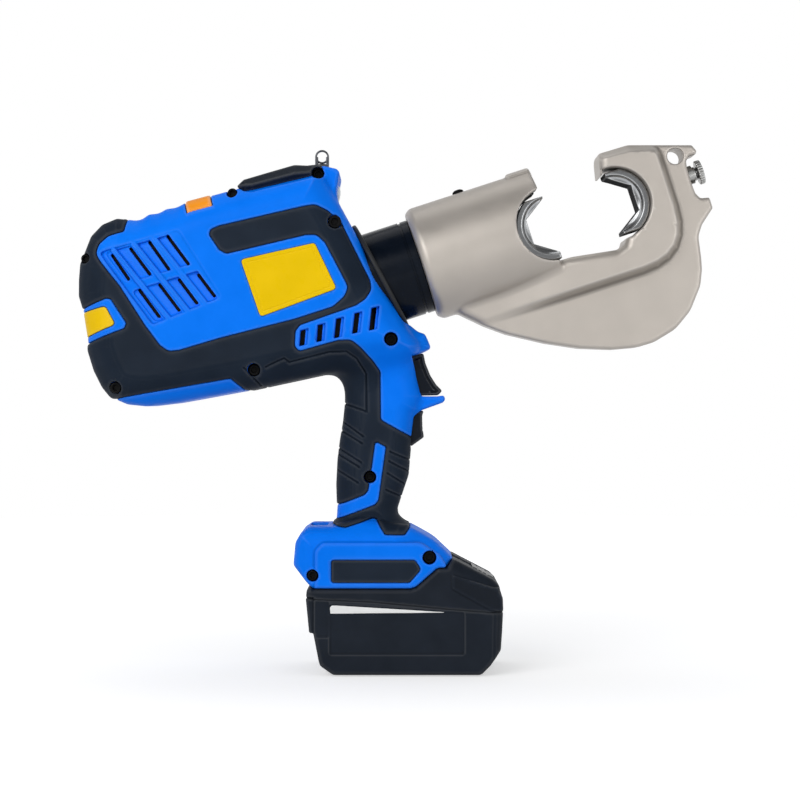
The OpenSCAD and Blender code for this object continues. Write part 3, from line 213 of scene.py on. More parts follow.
def cuboid(s, low, high, r=0.0):
    """A box between two corners, its edges rounded."""
    q = [np.abs(c - (a + b) / 2) - (b - a) / 2 + r for c, a, b in zip((s.x, s.y, s.z), low, high)]
    far = np.sqrt(sum(np.maximum(c, 0) ** 2 for c in q))
    return far + np.minimum(shared(*q), 0) - r


def sample(d, at):
    """Values of a field between its points, at places in its own indices."""
    i = np.clip(np.floor(at).astype(int), 0, np.array(d.shape) - 2)
    f = np.clip(at - i, 0, 1)
    out = 0
    for n in range(8):
        o = [(n >> k) & 1 for k in range(3)]
        w = np.prod([f[:, k] if o[k] else 1 - f[:, k] for k in range(3)], axis=0)
        out = out + w * d[i[:, 0] + o[0], i[:, 1] + o[1], i[:, 2] + o[2]]
    return out


# Pieces
def place(obj, material, body, nodes):
    """Gives a piece its material, its body and the nodes that it stands for."""
    obj.data.materials.append(material)
    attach(obj, body)
    if nodes:
        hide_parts(*nodes)
    return obj


def add_mesh(name, points, faces, normals=None, edge=None):
    """A smooth mesh object; edge is a number on each point that materials read."""
    mesh = bpy.data.meshes.new(name)
    mesh.from_pydata(points, [], faces)
    mesh.shade_smooth()
    if edge is not None:
        mesh.attributes.new("edge", "FLOAT", "POINT").data.foreach_set("value", edge.astype(np.float32))
    if normals is not None:
        mesh.normals_split_custom_set_from_vertices(normals)
    obj = bpy.data.objects.new(name, mesh)
    bpy.context.scene.collection.objects.link(obj)
    return obj


def solid(name, s, d, material, body, nodes=(), tilted=False, mirror=False):
    """A piece whose surface is the field's zero.

    A tilted field has X along the ram axis, and a mirrored one has its Y turned over.
    """
    shape = np.broadcast(s.x, s.y, s.z).shape
    d = np.ascontiguousarray(np.broadcast_to(d, shape), np.float32)
    band = FIELD_BAND * s.step
    grid = openvdb.FloatGrid(band)
    grid.copyFromArray(np.clip(d, -band, band))
    at, triangles, quads = grid.convertToPolygons(0.0, MERGE)
    at = at.astype(np.float64)
    steps = np.eye(3)
    near = [(sample(d, at + NORMAL_REACH * e), sample(d, at - NORMAL_REACH * e)) for e in steps]
    normals = np.stack([p - q for p, q in near], axis=1)
    normals /= np.maximum(np.linalg.norm(normals, axis=1, keepdims=True), 1e-9)
    reach = EDGE_REACH / s.step
    # How the surface bends, stored as the edge value from which materials paint edge highlights and crease
    # shade
    bend = sum(sample(d, at + reach * e) + sample(d, at - reach * e) for e in steps) - 6 * sample(d, at)
    points = s.low + at * s.step
    if tilted:
        cos, sin = math.cos(TILT), math.sin(TILT)
        turn = np.array([[cos, 0, -sin], [0, 1, 0], [sin, 0, cos]])
        points = points @ turn.T + np.array([HEAD_X, 0, HEAD_Z])
        normals = normals @ turn.T
    if mirror:
        points = points * [1, -1, 1]
        normals = normals * [1, -1, 1]
    faces = [list(f) for f in triangles] + [list(f) for f in quads]
    a, b, c = (points[[f[k] for f in faces]] for k in range(3))
    lean = np.einsum("ij,ij->i", np.cross(b - a, c - a), normals[[f[0] for f in faces]])
    if lean.sum() < 0:
        faces = [f[::-1] for f in faces]
    obj = add_mesh(name, points * MM, faces, normals, np.clip(bend, -1, 1))
    return place(obj, material, body, nodes)


def lathe(name, rings, spot, direction, material, body, nodes=(), sides=96):
    """A closed turned piece from (distance along, radius) pairs, about an axis through a point."""
    along = Vector(direction).normalized()
    across = along.orthogonal().normalized()
    third = along.cross(across)
    points, faces = [], []
    for d, r in rings:
        for i in range(sides):
            t = 2 * math.pi * i / sides
            points.append((Vector(spot) + along * d + (across * math.cos(t) + third * math.sin(t)) * r) * MM)
    for j in range(len(rings)):
        k = (j + 1) % len(rings)
        for i in range(sides):
            m = (i + 1) % sides
            faces.append((j * sides + i, j * sides + m, k * sides + m, k * sides + i))
    obj = add_mesh(name, points, faces)
    obj.data.set_sharp_from_angle(angle=math.radians(35))
    return place(obj, material, body, nodes)


# Materials: what a noise spans, and the edge values over which the painted edge highlight and the painted
# crease shade come in
NOISE_SPAN = (0.3, 0.7)
EDGE_HIGHLIGHT_SPAN = (0.2, 0.9)
CREASE_SHADE_SPAN = (-0.15, -0.8)

# Places of the colour sockets on a Mix node
MIX_SHARE, MIX_FIRST, MIX_SECOND, MIX_RESULT = 0, 6, 7, 2


def linear(code):
    """A colour written as six hex digits, in linear light."""
    out = []
    for i in (0, 2, 4):
        c = int(code[i:i + 2], 16) / 255
        out.append(c / 12.92 if c <= 0.04045 else ((c + 0.055) / 1.055) ** 2.4)
    return out


def add_node(tree, kind, inputs=None, **settings):
    """A node with its settings; an input is a socket, which is linked, or a plain value."""
    node = tree.nodes.new(kind)
    for name, value in settings.items():
        setattr(node, name, value)
    for key, value in (inputs or {}).items():
        if isinstance(value, bpy.types.NodeSocket):
            tree.links.new(value, node.inputs[key])
        else:
            node.inputs[key].default_value = value
    return node


def maths(tree, operation, *values, clamp=False):
    inputs = dict(enumerate(values))
    return add_node(tree, "ShaderNodeMath", inputs, operation=operation, use_clamp=clamp).outputs[0]


def noise(tree, where, scale, detail):
    inputs = {"Scale": scale, "Detail": detail, "Vector": where}
    return add_node(tree, "ShaderNodeTexNoise", inputs).outputs["Fac"]


def ranged(tree, value, start, end, low, high):
    """A value from start to end, stretched to run from low to high."""
    inputs = {"Value": value, "From Min": start, "From Max": end, "To Min": low, "To Max": high}
    return add_node(tree, "ShaderNodeMapRange", inputs).outputs["Result"]


def mixed(tree, first, second, share, blend="MIX"):
    inputs = {MIX_FIRST: first, MIX_SECOND: second, MIX_SHARE: share}
    return add_node(tree, "ShaderNodeMix", inputs, data_type="RGBA", blend_type=blend).outputs[MIX_RESULT]


def greys(tree, value, stops):
    """A ramp of greys from (place, grey) pairs, read at a value."""
    ramp = add_node(tree, "ShaderNodeValToRGB", {0: value})
    for n, (at, grey) in enumerate(stops):
        stop = ramp.color_ramp.elements[n] if n < 2 else ramp.color_ramp.elements.new(at)
        stop.position = at
        stop.color = (grey, grey, grey, 1)
    return ramp


def side_share(tree):
    """How far a face turns to the tool's side, from 0 to 1, in the object's own frame."""
    normal = add_node(tree, "ShaderNodeTexCoord").outputs["Normal"]
    across = add_node(tree, "ShaderNodeSeparateXYZ", {0: normal}).outputs["Y"]
    return maths(tree, "ABSOLUTE", across)


# Used both for the painted edge highlight and for the painted crease shade
def edged(tree, skin, amount, span, shade):
    """The colour mixed with a shade where the edge value lies in a span."""
    edge = add_node(tree, "ShaderNodeAttribute", attribute_name="edge")
    return mixed(tree, skin, (*shade, 1), ranged(tree, edge.outputs["Fac"], *span, 0, amount))


def finish_of(name, colour, rough, metal=0.0, grain=900.0, bump=0.05, spread=0.06, tone=0.08, edge_highlight=0.0,
              crease_shade=0.0, coat=0.0, stretch=None, spec=0.5, patch=60.0, facing_shade=()):
    """A procedural material with a mottled colour, uneven roughness and a fine grain.

    Convex edges get a painted highlight and inner corners get painted shade, by the amounts given. The facing
    stops give a grey that follows how far a face turns to the side, a painted shade and reflection by
    orientation; faces before the second stop lose their metal.
    """
    material = bpy.data.materials.new(name)
    material.use_nodes = True
    tree = material.node_tree
    tree.nodes.clear()
    where = add_node(tree, "ShaderNodeTexCoord").outputs["Object"]
    if stretch:
        where = add_node(tree, "ShaderNodeMapping", {"Vector": where, "Scale": stretch}).outputs[0]

    base = linear(colour)
    dark = (*[c * (1 - tone) for c in base], 1)
    light = (*[min(c * (1 + tone) + 0.002, 1) for c in base], 1)
    skin = mixed(tree, dark, light, ranged(tree, noise(tree, where, patch, 4), *NOISE_SPAN, 0, 1))
    # Painted shade and reflection: the colour greyed and the metal taken off by how far a face turns to the
    # side
    if facing_shade:
        share = side_share(tree)
        skin = mixed(tree, skin, greys(tree, share, facing_shade).outputs["Color"], 1.0, "MULTIPLY")
        metal = ranged(tree, share, facing_shade[0][0], facing_shade[1][0], 0, metal)
    # Painted highlight: convex edges paled where the edge value is high
    if edge_highlight:
        skin = edged(tree, skin, edge_highlight, EDGE_HIGHLIGHT_SPAN, [c + (1 - c) * 0.45 for c in base])
    # Painted shade: inner corners and creases darkened where the edge value is low
    if crease_shade:
        skin = edged(tree, skin, crease_shade, CREASE_SHADE_SPAN, [c * 0.25 for c in base])

    uneven = ranged(tree, noise(tree, where, patch * 4, 5), *NOISE_SPAN, rough - spread, rough + spread)
    height = noise(tree, where, grain, 3)
    lift = add_node(tree, "ShaderNodeBump", {"Strength": bump, "Distance": 0.0002, "Height": height})
    sockets = {"Base Color": skin, "Roughness": uneven, "Metallic": metal, "Specular IOR Level": spec,
               "Normal": lift.outputs[0]}
    if coat:
        sockets.update({"Coat Weight": coat, "Coat Roughness": 0.08})
    shader = add_node(tree, "ShaderNodeBsdfPrincipled", sockets)
    add_node(tree, "ShaderNodeOutputMaterial", {0: shader.outputs[0]})
    return material


# The edge amounts below paint a highlight on convex edges and paint shade into creases
BLUE = finish_of("blue_shell", "007AFC", 0.42, grain=2600, bump=0.08, tone=0.04, edge_highlight=0.05, crease_shade=0.3,
                 spec=0.05)
DARK = finish_of("soft_grip", "18222F", 0.6, grain=3200, bump=0.2, tone=0.12, edge_highlight=0.05, crease_shade=0.5, spec=0.07)
PAD = finish_of("top_pad_rubber", "171E28", 0.42, grain=3000, bump=0.12, tone=0.12, edge_highlight=0.08, crease_shade=0.4,
                spec=0.12)
YELLOW = finish_of("yellow_trim", "F5C800", 0.4, grain=2400, bump=0.06, tone=0.04, edge_highlight=0.05, crease_shade=0.3,
                   spec=0.06)
LABEL = finish_of("label_laminate", "F2C800", 0.3, grain=1500, bump=0.03, tone=0.03, crease_shade=0.2, spec=0.08)
ORANGE = finish_of("orange_trim", "FB9800", 0.38, grain=2400, bump=0.06, tone=0.05, edge_highlight=0.25, crease_shade=0.3,
                   spec=0.15)
CASE = finish_of("battery_plastic", "1B212A", 0.5, grain=2800, bump=0.22, tone=0.12, edge_highlight=0.06, crease_shade=0.5,
                 spec=0.08)
WHITE = finish_of("white_print", "F4F4F2", 0.4, grain=1500, bump=0.03, tone=0.02, spec=0.15)
BLACK = finish_of("black_plastic", "0A0D12", 0.4, grain=2400, bump=0.08, tone=0.15, edge_highlight=0.05, spec=0.12)
CONTROL = finish_of("control_plastic", "0C131D", 0.3, grain=2400, bump=0.05, tone=0.12, edge_highlight=0.1, crease_shade=0.5,
                    spec=0.1)
NECK = finish_of("black_metal", "08101B", 0.22, grain=1400, bump=0.02, tone=0.15, spec=0.08)
HEAD = finish_of("head_metal", "B2ABA3", 0.4, metal=0.5, grain=3400, bump=0.2, tone=0.03, edge_highlight=0.12, crease_shade=0.4,
                 spread=0.04, spec=0.3)
# The die's stops paint dark walls and a bright cone by face orientation, a painted shade and reflection
DIE = finish_of("die_steel", "BFC1C3", 0.16, metal=0.95, grain=500, bump=0.05, tone=0.07, edge_highlight=0.2, crease_shade=0.8,
                stretch=(1, 1, 8), spec=0.0, facing_shade=((0.42, 0.13), (0.58, 1.0), (0.84, 1.0), (0.95, 0.3)))
STEEL = finish_of("bright_steel", "989896", 0.24, metal=0.9, grain=800, bump=0.04, tone=0.06, edge_highlight=0.2,
                  crease_shade=0.6)
WIRE = finish_of("dark_wire", "4A4C50", 0.26, metal=0.9, grain=800, bump=0.04, tone=0.08, crease_shade=0.5)
SCREW = finish_of("dark_steel", "030304", 0.5, grain=900, bump=0.05, tone=0.2, spec=0.08)
GEAR = finish_of("gear_steel", "A0A1A3", 0.34, metal=1.0, grain=700, bump=0.06, tone=0.08, stretch=(6, 1, 1))
CAST = finish_of("cast_aluminium", "B6B8BA", 0.5, metal=1.0, grain=900, bump=0.3, tone=0.1)
BRASS = finish_of("brass", "C99A45", 0.3, metal=1.0, grain=700, bump=0.04, tone=0.08)
SEAL = finish_of("seal_rubber", "101010", 0.7, grain=1500, bump=0.15, tone=0.15, spec=0.2)
BOARD = finish_of("circuit_board", "1E6B3A", 0.45, grain=700, bump=0.15, tone=0.2, patch=300.0)
CELL = finish_of("cell_wrap", "2F8F6B", 0.4, grain=900, bump=0.04, tone=0.06)
LENS = finish_of("lens", "DDE6F0", 0.12, grain=500, bump=0.02, tone=0.03, coat=0.5)
SPRING = finish_of("spring_steel", "BDBDBC", 0.28, metal=1.0, grain=900, bump=0.04, tone=0.06)

# The nodes that show as they are built
PLAIN_NODES = {
    "neck_seal": SEAL, "snap_ring": STEEL, "pump_block": CAST, "pump_plunger": STEEL, "relief_valve": BRASS,
    "oil_reservoir": BLACK, "motor_can": GEAR, "motor_end_bell": BLACK, "gear_case": CAST,
    "ring_gear": GEAR, "shaft_bearings": STEEL, "controller_board": BOARD, "trigger_switch": BLACK,
    "trigger_spring": SPRING, "retract_switch": BLACK, "retract_pin": SCREW, "wire_loom": SEAL,
    "terminal_block": BLACK, "knob_spring": SPRING, "knob_sleeve": STEEL, "ram": DIE, "piston_seal": SEAL,
    "return_spring": SPRING, "rotor": GEAR, "fan": BLACK, "planet_carrier": GEAR, "eccentric": STEEL,
    "planet_gear_1": GEAR, "planet_gear_2": GEAR, "planet_gear_3": GEAR, "battery_cells": CELL,
    "cell_holders": BLACK, "battery_board": BOARD, "battery_terminals": BRASS, "cell_straps": SPRING,
    "latch_spring": SPRING,
}
for name, material in PLAIN_NODES.items():
    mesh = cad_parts[name].data
    mesh.materials.clear()
    mesh.materials.append(material)

# Planes across the tool on which the outlines were measured
BODY_Y, SIDE_Y = -26, -38
HANDLE_Y, GRIP_Y, LINE_Y = -8, -18, -30
FOOT_Y, FOOT_FACE_Y = -34, -36
TURRET_Y, NOSE_Y, FIN_Y, PAD_Y = -16, -12, -8, -24
TRIGGER_Y, TRIGGER_ROOM_Y = -9, -12
LEVER_Y, LEVER_ROOM_Y = -8, -10
PACK_Y, PACK_SPLIT_Y, PACK_SIDE_Y = -35, -36, -37

# Outlines of the body, in pixels of the photograph; a third number is a corner radius in millimetres
BODY_EDGE = [
    (123, 219.5, 4), (116, 218.6, 4), (101.5, 224.7, 6), (90.5, 236.3, 6), (86, 247.9, 5),
    (79.6, 264, 4), (78.4, 279.4, 6), (78.3, 296, 5), (81.6, 306.8, 5), (86.9, 340.8, 5),
    (87, 350.7, 8), (93.2, 370.6, 8), (101.5, 387.2, 8), (110, 397.6, 8), (126.3, 404.6, 10),
    (146.2, 406.6, 20), (176.1, 403, 30), (242.4, 390.8, 30), (310.2, 376.2, 20), (413, 353.5, 3),
    (418, 347, 4), (402.3, 320, 8), (351, 224.7, 20), (330, 186.5, 8), (322, 171.5, 5), (314, 169, 8),
    (236.7, 187.8, 20), (207.6, 195.7, 20), (181.9, 202.6, 10), (161, 208.4, 10), (143, 213.6, 8),
]
RIPPLES = [(134.6, 218), (152.9, 211.4), (170.3, 205.6)]
TURRET_EDGE = [
    (300, 200), (336, 204, 3), (336.7, 191, 4), (339.8, 173, 2), (337, 169.6, 3), (324.5, 166.8, 3),
    (300, 172),
]
HANDLE_EDGE = [
    (346, 380), (345.7, 403, 20), (343.7, 422.4, 10), (340.7, 439.8, 10), (338.3, 458.6, 10),
    (337, 484, 20), (337.6, 504, 10), (336.8, 516, 5), (333, 529, 2), (410.5, 530, 2),
    (403.9, 522.9, 6), (397.5, 515, 4), (396.8, 508, 5), (400, 498, 6), (407.9, 474.6, 10),
    (410, 450, 5), (411.5, 432, 8), (413.5, 416, 5), (418, 411, 5), (421.8, 396.3, 2),
    (411.8, 355.7, 3), (414, 345), (380, 330), (350, 345),
]
NOSE_EDGE = [
    (395, 307), (402.3, 320, 6), (407.3, 327.5, 5), (417.2, 333.6, 5), (424.5, 334.2, 2),
    (430.8, 348, 1.5), (412, 356, 2), (398, 362),
]
FIN_EDGE = [
    (405, 395.5), (437, 395.9, 4), (443.7, 394.4, 1.5), (445.3, 399.5, 2), (443, 402.6, 2),
    (432, 406.6, 6), (418, 411.6, 6), (412.6, 417.5, 5), (410.5, 439), (400, 430),
]
FOOT_EDGE = [
    (409.3, 527.4, 4), (432.5, 539, 14), (453.3, 558.9, 1), (446.6, 567.6, 3), (437.5, 567.6, 5),
    (415.9, 586.6, 3), (410.1, 588.4, 3), (312.3, 588.4, 2), (305.7, 581.8, 3), (292.4, 566.3, 4),
    (294.6, 543.1, 8), (300.7, 533, 5), (309, 527.2, 4), (330, 527.2, 4), (360, 520),
]
PAD_EDGE = [
    (236.4, 186.5, 1), (243.5, 179.6, 2), (293.9, 164.8, 5), (307.1, 165.4, 4), (316, 164.4, 2),
    (324, 168, 2), (314, 179.6, 2), (253.6, 193.4, 3), (245, 192, 2),
]

# Regions of the side, in pixels on its face
BELLY = [
    (124.5, 208), (124, 221), (123, 231, 2), (107.5, 235.7, 6), (98.2, 243.7, 5), (94.6, 252.5, 5),
    (100, 261, 5), (120, 286, 8), (145, 325, 10), (160, 345, 6), (168.5, 351, 5), (179, 350, 5),
    (220, 337.8, 10), (295, 318.7, 20), (333, 306.4, 7), (344.5, 296, 7), (348, 287, 5),
    (340.5, 272.5, 10), (325, 243, 5), (316.5, 234.8, 5), (306, 235, 4), (226, 254, 4), (219, 250, 4),
    (208.6, 234.6, 4), (210.5, 229, 3), (219, 225.5, 4), (302, 206.2, 10), (315, 203.8, 7),
    (328, 210, 7), (341, 221.5, 7), (370, 279.5, 9), (371.4, 289, 6), (365.5, 299, 7), (356, 305.5, 5),
    (300, 325.2, 4), (295.5, 331, 3), (294.8, 346, 3), (299, 351, 3), (338, 340, 4), (351, 339.4, 6),
    (360, 346.5, 6), (372.5, 360, 6), (380.2, 371, 4), (380.6, 420, 3), (411, 437.2, 3), (440, 452),
    (440, 545), (411, 527.5), (405, 536.2, 2), (384.6, 535.8, 2), (375.5, 521, 2), (371.5, 520.6, 2),
    (345, 529, 4), (334, 527.4, 1), (330, 527), (330, 506), (322, 440), (60, 440), (60, 208),
]
BELLY_STRIP = [(104, 402), (116, 398.4, 4), (229.6, 378.7, 2), (246, 392.2, 2), (246, 430), (104, 430)]
INLAY_FRAME = [
    (66, 313), (82, 307.6, 3), (106, 298.6, 3), (110.5, 299.4, 2), (126.2, 323.6, 2), (124, 328.2, 2),
    (87.5, 341.8, 3), (66, 349),
]
INLAY = [
    (66, 315), (82.5, 311, 2), (103.5, 306, 2), (106.5, 307.5, 1.5), (114.8, 322.8, 1.5),
    (113, 325.8, 1.5), (87, 336, 2), (66, 344),
]
GRIP_STRIPE = [
    (375.2, 443.6, 1), (377.5, 442.6, 1), (385.8, 447.2, 1), (378.4, 500, 2), (375, 504.4, 2),
    (344, 516.5, 3), (326, 523), (326, 509), (346, 502.5, 3), (364.5, 495, 3), (368.2, 491, 2),
    (371, 474, 2),
]
LABEL_EDGE = [(240.6, 259.6, 2.2), (314.6, 242.8, 2.2), (336.6, 288.6, 2.2), (260.4, 316.8, 2.2)]
PANEL_LINES = [
    [
        (266.7, 366.9), (285, 358.4), (290, 362.3), (330, 352.2), (346.7, 351.6), (356.7, 358.3),
        (366, 373.3), (366.4, 411.7), (343.3, 403.3),
    ],
    [(245, 368), (264, 389)],
]
GRIP_LINES = [
    ((343.5, 422), (363.5, 436.5)), ((341.8, 430.8), (362.5, 443.5)), ((339.3, 448.5), (361.5, 462.5)),
    ((338.8, 454.5), (359.5, 467)), ((337.5, 470), (358, 482.5)), ((390, 451.5), (411, 461)),
    ((389, 461), (408, 471.5)), ((387.5, 473), (404, 484)), ((386, 489.5), (401, 497)),
]
TRIGGER_CLEAR = [(411.6, 355.9), (421.6, 396.0, 1), (437, 395.7, 1), (470, 392), (470, 349), (431.5, 349)]
LEVER_CLEAR = [
    (413.8, 416.4, 1), (411.4, 436, 3), (410.2, 447, 1), (440, 447), (440, 407), (434.6, 407),
    (419.4, 412.6, 1),
]
FOOT_PANEL = [
    (314.5, 595), (314.5, 551, 6), (322, 542.8, 5), (421, 542.8, 8), (440, 556, 4), (448, 567.6, 3),
    (437.5, 568.4, 5), (415.9, 587.4, 3), (410.1, 595),
]
FOOT_INLAY = [
    (331.4, 560.4, 1.6), (415, 560.4, 2.4), (420.8, 569.6, 2.4), (409.4, 582.8, 2.4),
    (331.4, 582.8, 1.6),
]

# Vents: ends of slots and ribs, and the outlines of their pockets and of the screens behind them
REAR_SLOTS = [
    ((111.9, 255.2), (128, 278.8)), ((130.4, 248.6), (149.2, 273.8)), ((149.2, 242), (168.2, 268.8)),
    ((167.5, 236.2), (188, 263.8)), ((139.2, 290), (158.3, 316)), ((159.4, 284.7), (178.2, 309.5)),
    ((179, 279.7), (196, 302.4)), ((198.4, 275), (213.8, 295.4)),
]
REAR_RIBS = [
    ((113.5, 250.4), (174, 325.2)), ((133.4, 243.6), (192.4, 317)), ((153.3, 237.8), (210.6, 310.4)),
]
REAR_POCKETS = [
    [(104.5, 253, 1), (110, 251, 1), (176, 232.5, 2), (198, 262, 2), (131, 281.5, 1), (125, 280, 1)],
    [(131.5, 291, 2), (198, 270.5, 2), (219, 298, 2), (158.5, 321, 2), (154, 320.5, 2)],
]
VENT_FIELD = [(98.5, 252.2, 2), (178, 230.6, 2), (220.5, 297, 2), (152.4, 324.6, 2)]
FRONT_SLOTS = [
    ((304.3, 329.2), (303, 345.4)), ((321.5, 323.8), (320.2, 341.4)), ((340, 317.6), (337.8, 337.6)),
    ((358.4, 312.2), (356, 333)), ((375.3, 306.6), (372.9, 329.8)),
]
REAR_SCREEN = [(104, 250), (180, 228), (222, 292), (158, 326)]
FRONT_SCREEN = [(294, 330), (380, 302), (386, 328), (298, 352)]

# Case screws: centre and radius in pixels, and how far the face around the hole is from the middle plane
SCREWS = [
    (84.6, 258.2, 5.2, 30), (114.7, 387.5, 6.2, 36), (253.7, 369.8, 6.4, 36), (231.8, 192.6, 5.6, 27),
    (318, 173.7, 6.2, 22), (334.4, 221, 7, 38), (391, 339, 6.8, 33), (370, 477, 6.2, 19),
    (312.3, 576, 6, 38), (429.5, 557.7, 6.8, 38),
]
PAD_SCREWS = SCREWS[3:5]
HOLE_DEPTH = 8

WALL, GRIP_WALL, SKIN = 4.2, 2.8, 1.8
BODY_HALF, HANDLE_HALF, FOOT_HALF, PAD_HALF = 38.4, 20.0, 38.0, 31
CREASE_IN = 12.0
RIPPLE_RADIUS, RIPPLE_RISE = 9.0, 8.1
NECK_RADIUS, NECK_ROOM = 28, 28.6
COLLAR_X, COLLAR_Z = axis_place(-25.6, 0)
COLLAR_LEAN = math.radians(28.06)
COLLAR_RADIUS, COLLAR_OVAL = 35.0, 1.08
BUTTON_X, BUTTON_Z, BUTTON_LEAN = -121.07, 274.17, math.radians(16.5)
LENS_X, LENS_Z, LENS_LEAN = -41.71, 278.86, math.radians(-8.5)
EYE_X, EYE_Z = -50.03, 301.4

# Room in the shell, as two corners and an edge radius
ROOMS = {
    "trigger": ((-12, -9.6, 160), (40, 9.6, 187), 1.5),
    "lever": ((-10.4, -8.5, 130), (40, 8.5, 151.8), 1.0),
    "battery rail": ((-50.5, -22.5, 40), (60, 22.5, 60), 0.0),
    "battery flange": ((-50.5, -27.5, 53.5), (60, 27.5, 60), 0.0),
    "latch tooth": ((13.5, -8.5, 58), (60, 8.5, 63), 0.0),
    "eye": ((EYE_X - 4.5, -1.8, 288), (EYE_X + 4.5, 2, 310), 0.0),
    "strap bar": ((-56.5, -12, 79.5), (-46.5, 12, 95), 1.5),
}


def face_field(s, points, y=SIDE_Y):
    """Distance to a rounded outline of the photograph, measured on a plane across the tool."""
    return outline(s.x, s.z, fillet(photo(points, y)))


def body_field(s):
    """The main body, with ripples on its back and creased sides."""
    d = face_field(s, BODY_EDGE, BODY_Y)
    for cx, cz in photo(RIPPLES, BODY_Y):
        d = smax(d, RIPPLE_RADIUS - np.hypot(s.x - cx, s.z - cz - RIPPLE_RISE), 2.0)
    return smax(extrude(d, s.y, BODY_HALF, 6.0), bevel(d, s.y, BODY_HALF, CREASE_IN), 5.0)


def foot_field(s):
    """The battery foot, with sloping shoulders and a raised panel on its side."""
    foot = extrude(face_field(s, FOOT_EDGE, FOOT_Y), s.y, FOOT_HALF - 2.2, 3.0)
    shoulder = shared(-65.6 - s.x, s.z - 85.2, s.x * 0.55 + s.z * 0.835 - 68.4)
    foot = smax(foot, bevel(shoulder, s.y, FOOT_HALF, 8.5), 4.0)
    panel = shared(face_field(s, FOOT_PANEL), face_field(s, FOOT_EDGE, FOOT_FACE_Y))
    return smin(foot, extrude(panel, s.y, FOOT_HALF, 1.8), 1.2)


def rear_vents(s, blue, body):
    """Cuts the rear vents: a recess that fades forwards, ribs left standing and cells with leaning floors."""
    part, block = s.part((-182, -40.5, 192), (-100, -32, 264))
    cut, inside = blue[part], body[part]
    ribs = EMPTY
    for ends in REAR_RIBS:
        ribs = joined(ribs, bar(block.x, block.z, *photo(ends, SIDE_Y), 1.6))
    top_left, _, _, foot_left = photo(VENT_FIELD, SIDE_Y)
    depth = 1.9 * np.clip(1 - slant(block, top_left, foot_left) / 38, 0.05, 1)
    cut = smax(cut, -shared(face_field(block, VENT_FIELD), -ribs, -(inside + depth)), 1.0)
    pockets = [face_field(block, edge) for edge in REAR_POCKETS]
    for n, ends in enumerate(REAR_SLOTS):
        row = n // 4
        top, foot = photo(ends, SIDE_Y)
        lead = slant(block, top, foot)
        cell = shared(pockets[row], -ribs, np.abs(lead + 4.4) - 5.6)
        depth = 3.5 + 0.14 * lead if row else 2.0 - 0.12 * lead
        cut = smax(cut, -shared(cell, -(inside + depth)), 0.4)
        cut = shared(cut, -shared(bar(block.x, block.z, top, foot, 0.95), -(inside + WALL + 1)))
    blue[part] = cut


def front_vents(s, blue, body):
    """Cuts the front vents, leaning slots with a step inside."""
    part, block = s.part((-66, -40.5, 180), (-8, -28, 222))
    cut, inside = blue[part], body[part]
    for ends in FRONT_SLOTS:
        top, foot = photo(ends, SIDE_Y)
        lead = slant(block, foot, top)
        level = block.z - (top[1] + foot[1]) / 2 - 0.24 * lead
        slot = shared(np.abs(lead) - 2.3, np.abs(level) - (top[1] - foot[1]) / 2)
        cut = smax(cut, -shared(slot, -(inside + 2.4)), 0.5)
        cut = shared(cut, -shared(slot + 0.2, lead - 0.7, -(inside + WALL + 1)))
    blue[part] = cut


def screw_hole(s, screw):
    """The round hole over a case screw."""
    u, v, radius, face = screw
    cx, cz = photo([(u, v)], -face)[0]
    return shared(np.hypot(s.x - cx, s.z - cz) - radius * PIXEL, s.y + face - HOLE_DEPTH)


def room_field(s, side):
    """The room left in the shell for the neck, the collar, the controls and what else passes through."""
    a, b = turned(s.x, s.z, HEAD_X, HEAD_Z, TILT)
    room = shared(np.hypot(s.y, b) - NECK_ROOM, -45 - a)
    a, b = turned(s.x, s.z, COLLAR_X, COLLAR_Z, COLLAR_LEAN)
    room = joined(room, shared(np.hypot(s.y * COLLAR_OVAL, b) - COLLAR_RADIUS - 0.3, -a - 0.6))
    a, b = turned(s.x, s.z, BUTTON_X, BUTTON_Z, BUTTON_LEAN)
    room = joined(room, shared(np.abs(a) - 7.9, np.abs(s.y) - 33.4, -11.5 - b))
    a, b = turned(s.x, s.z, LENS_X, LENS_Z, LENS_LEAN)
    room = joined(room, shared(np.hypot(s.y, b) - 5.9, -4.0 - a))
    for low, high, radius in ROOMS.values():
        room = joined(room, cuboid(s, low, high, radius))
    if side < 0:
        for screw in SCREWS:
            room = joined(room, screw_hole(s, screw))
    return room


def skin_lines(s):
    """The thin grooves of the soft skin: panel lines on the body and grip lines on the handle."""
    lines = EMPTY
    for line in PANEL_LINES:
        line = photo(line, LINE_Y)
        for p, q in zip(line, line[1:]):
            lines = joined(lines, bar(s.x, s.z, p, q, 0.35))
    for ends in GRIP_LINES:
        lines = joined(lines, bar(s.x, s.z, *photo(ends, GRIP_Y), 0.3))
    return lines


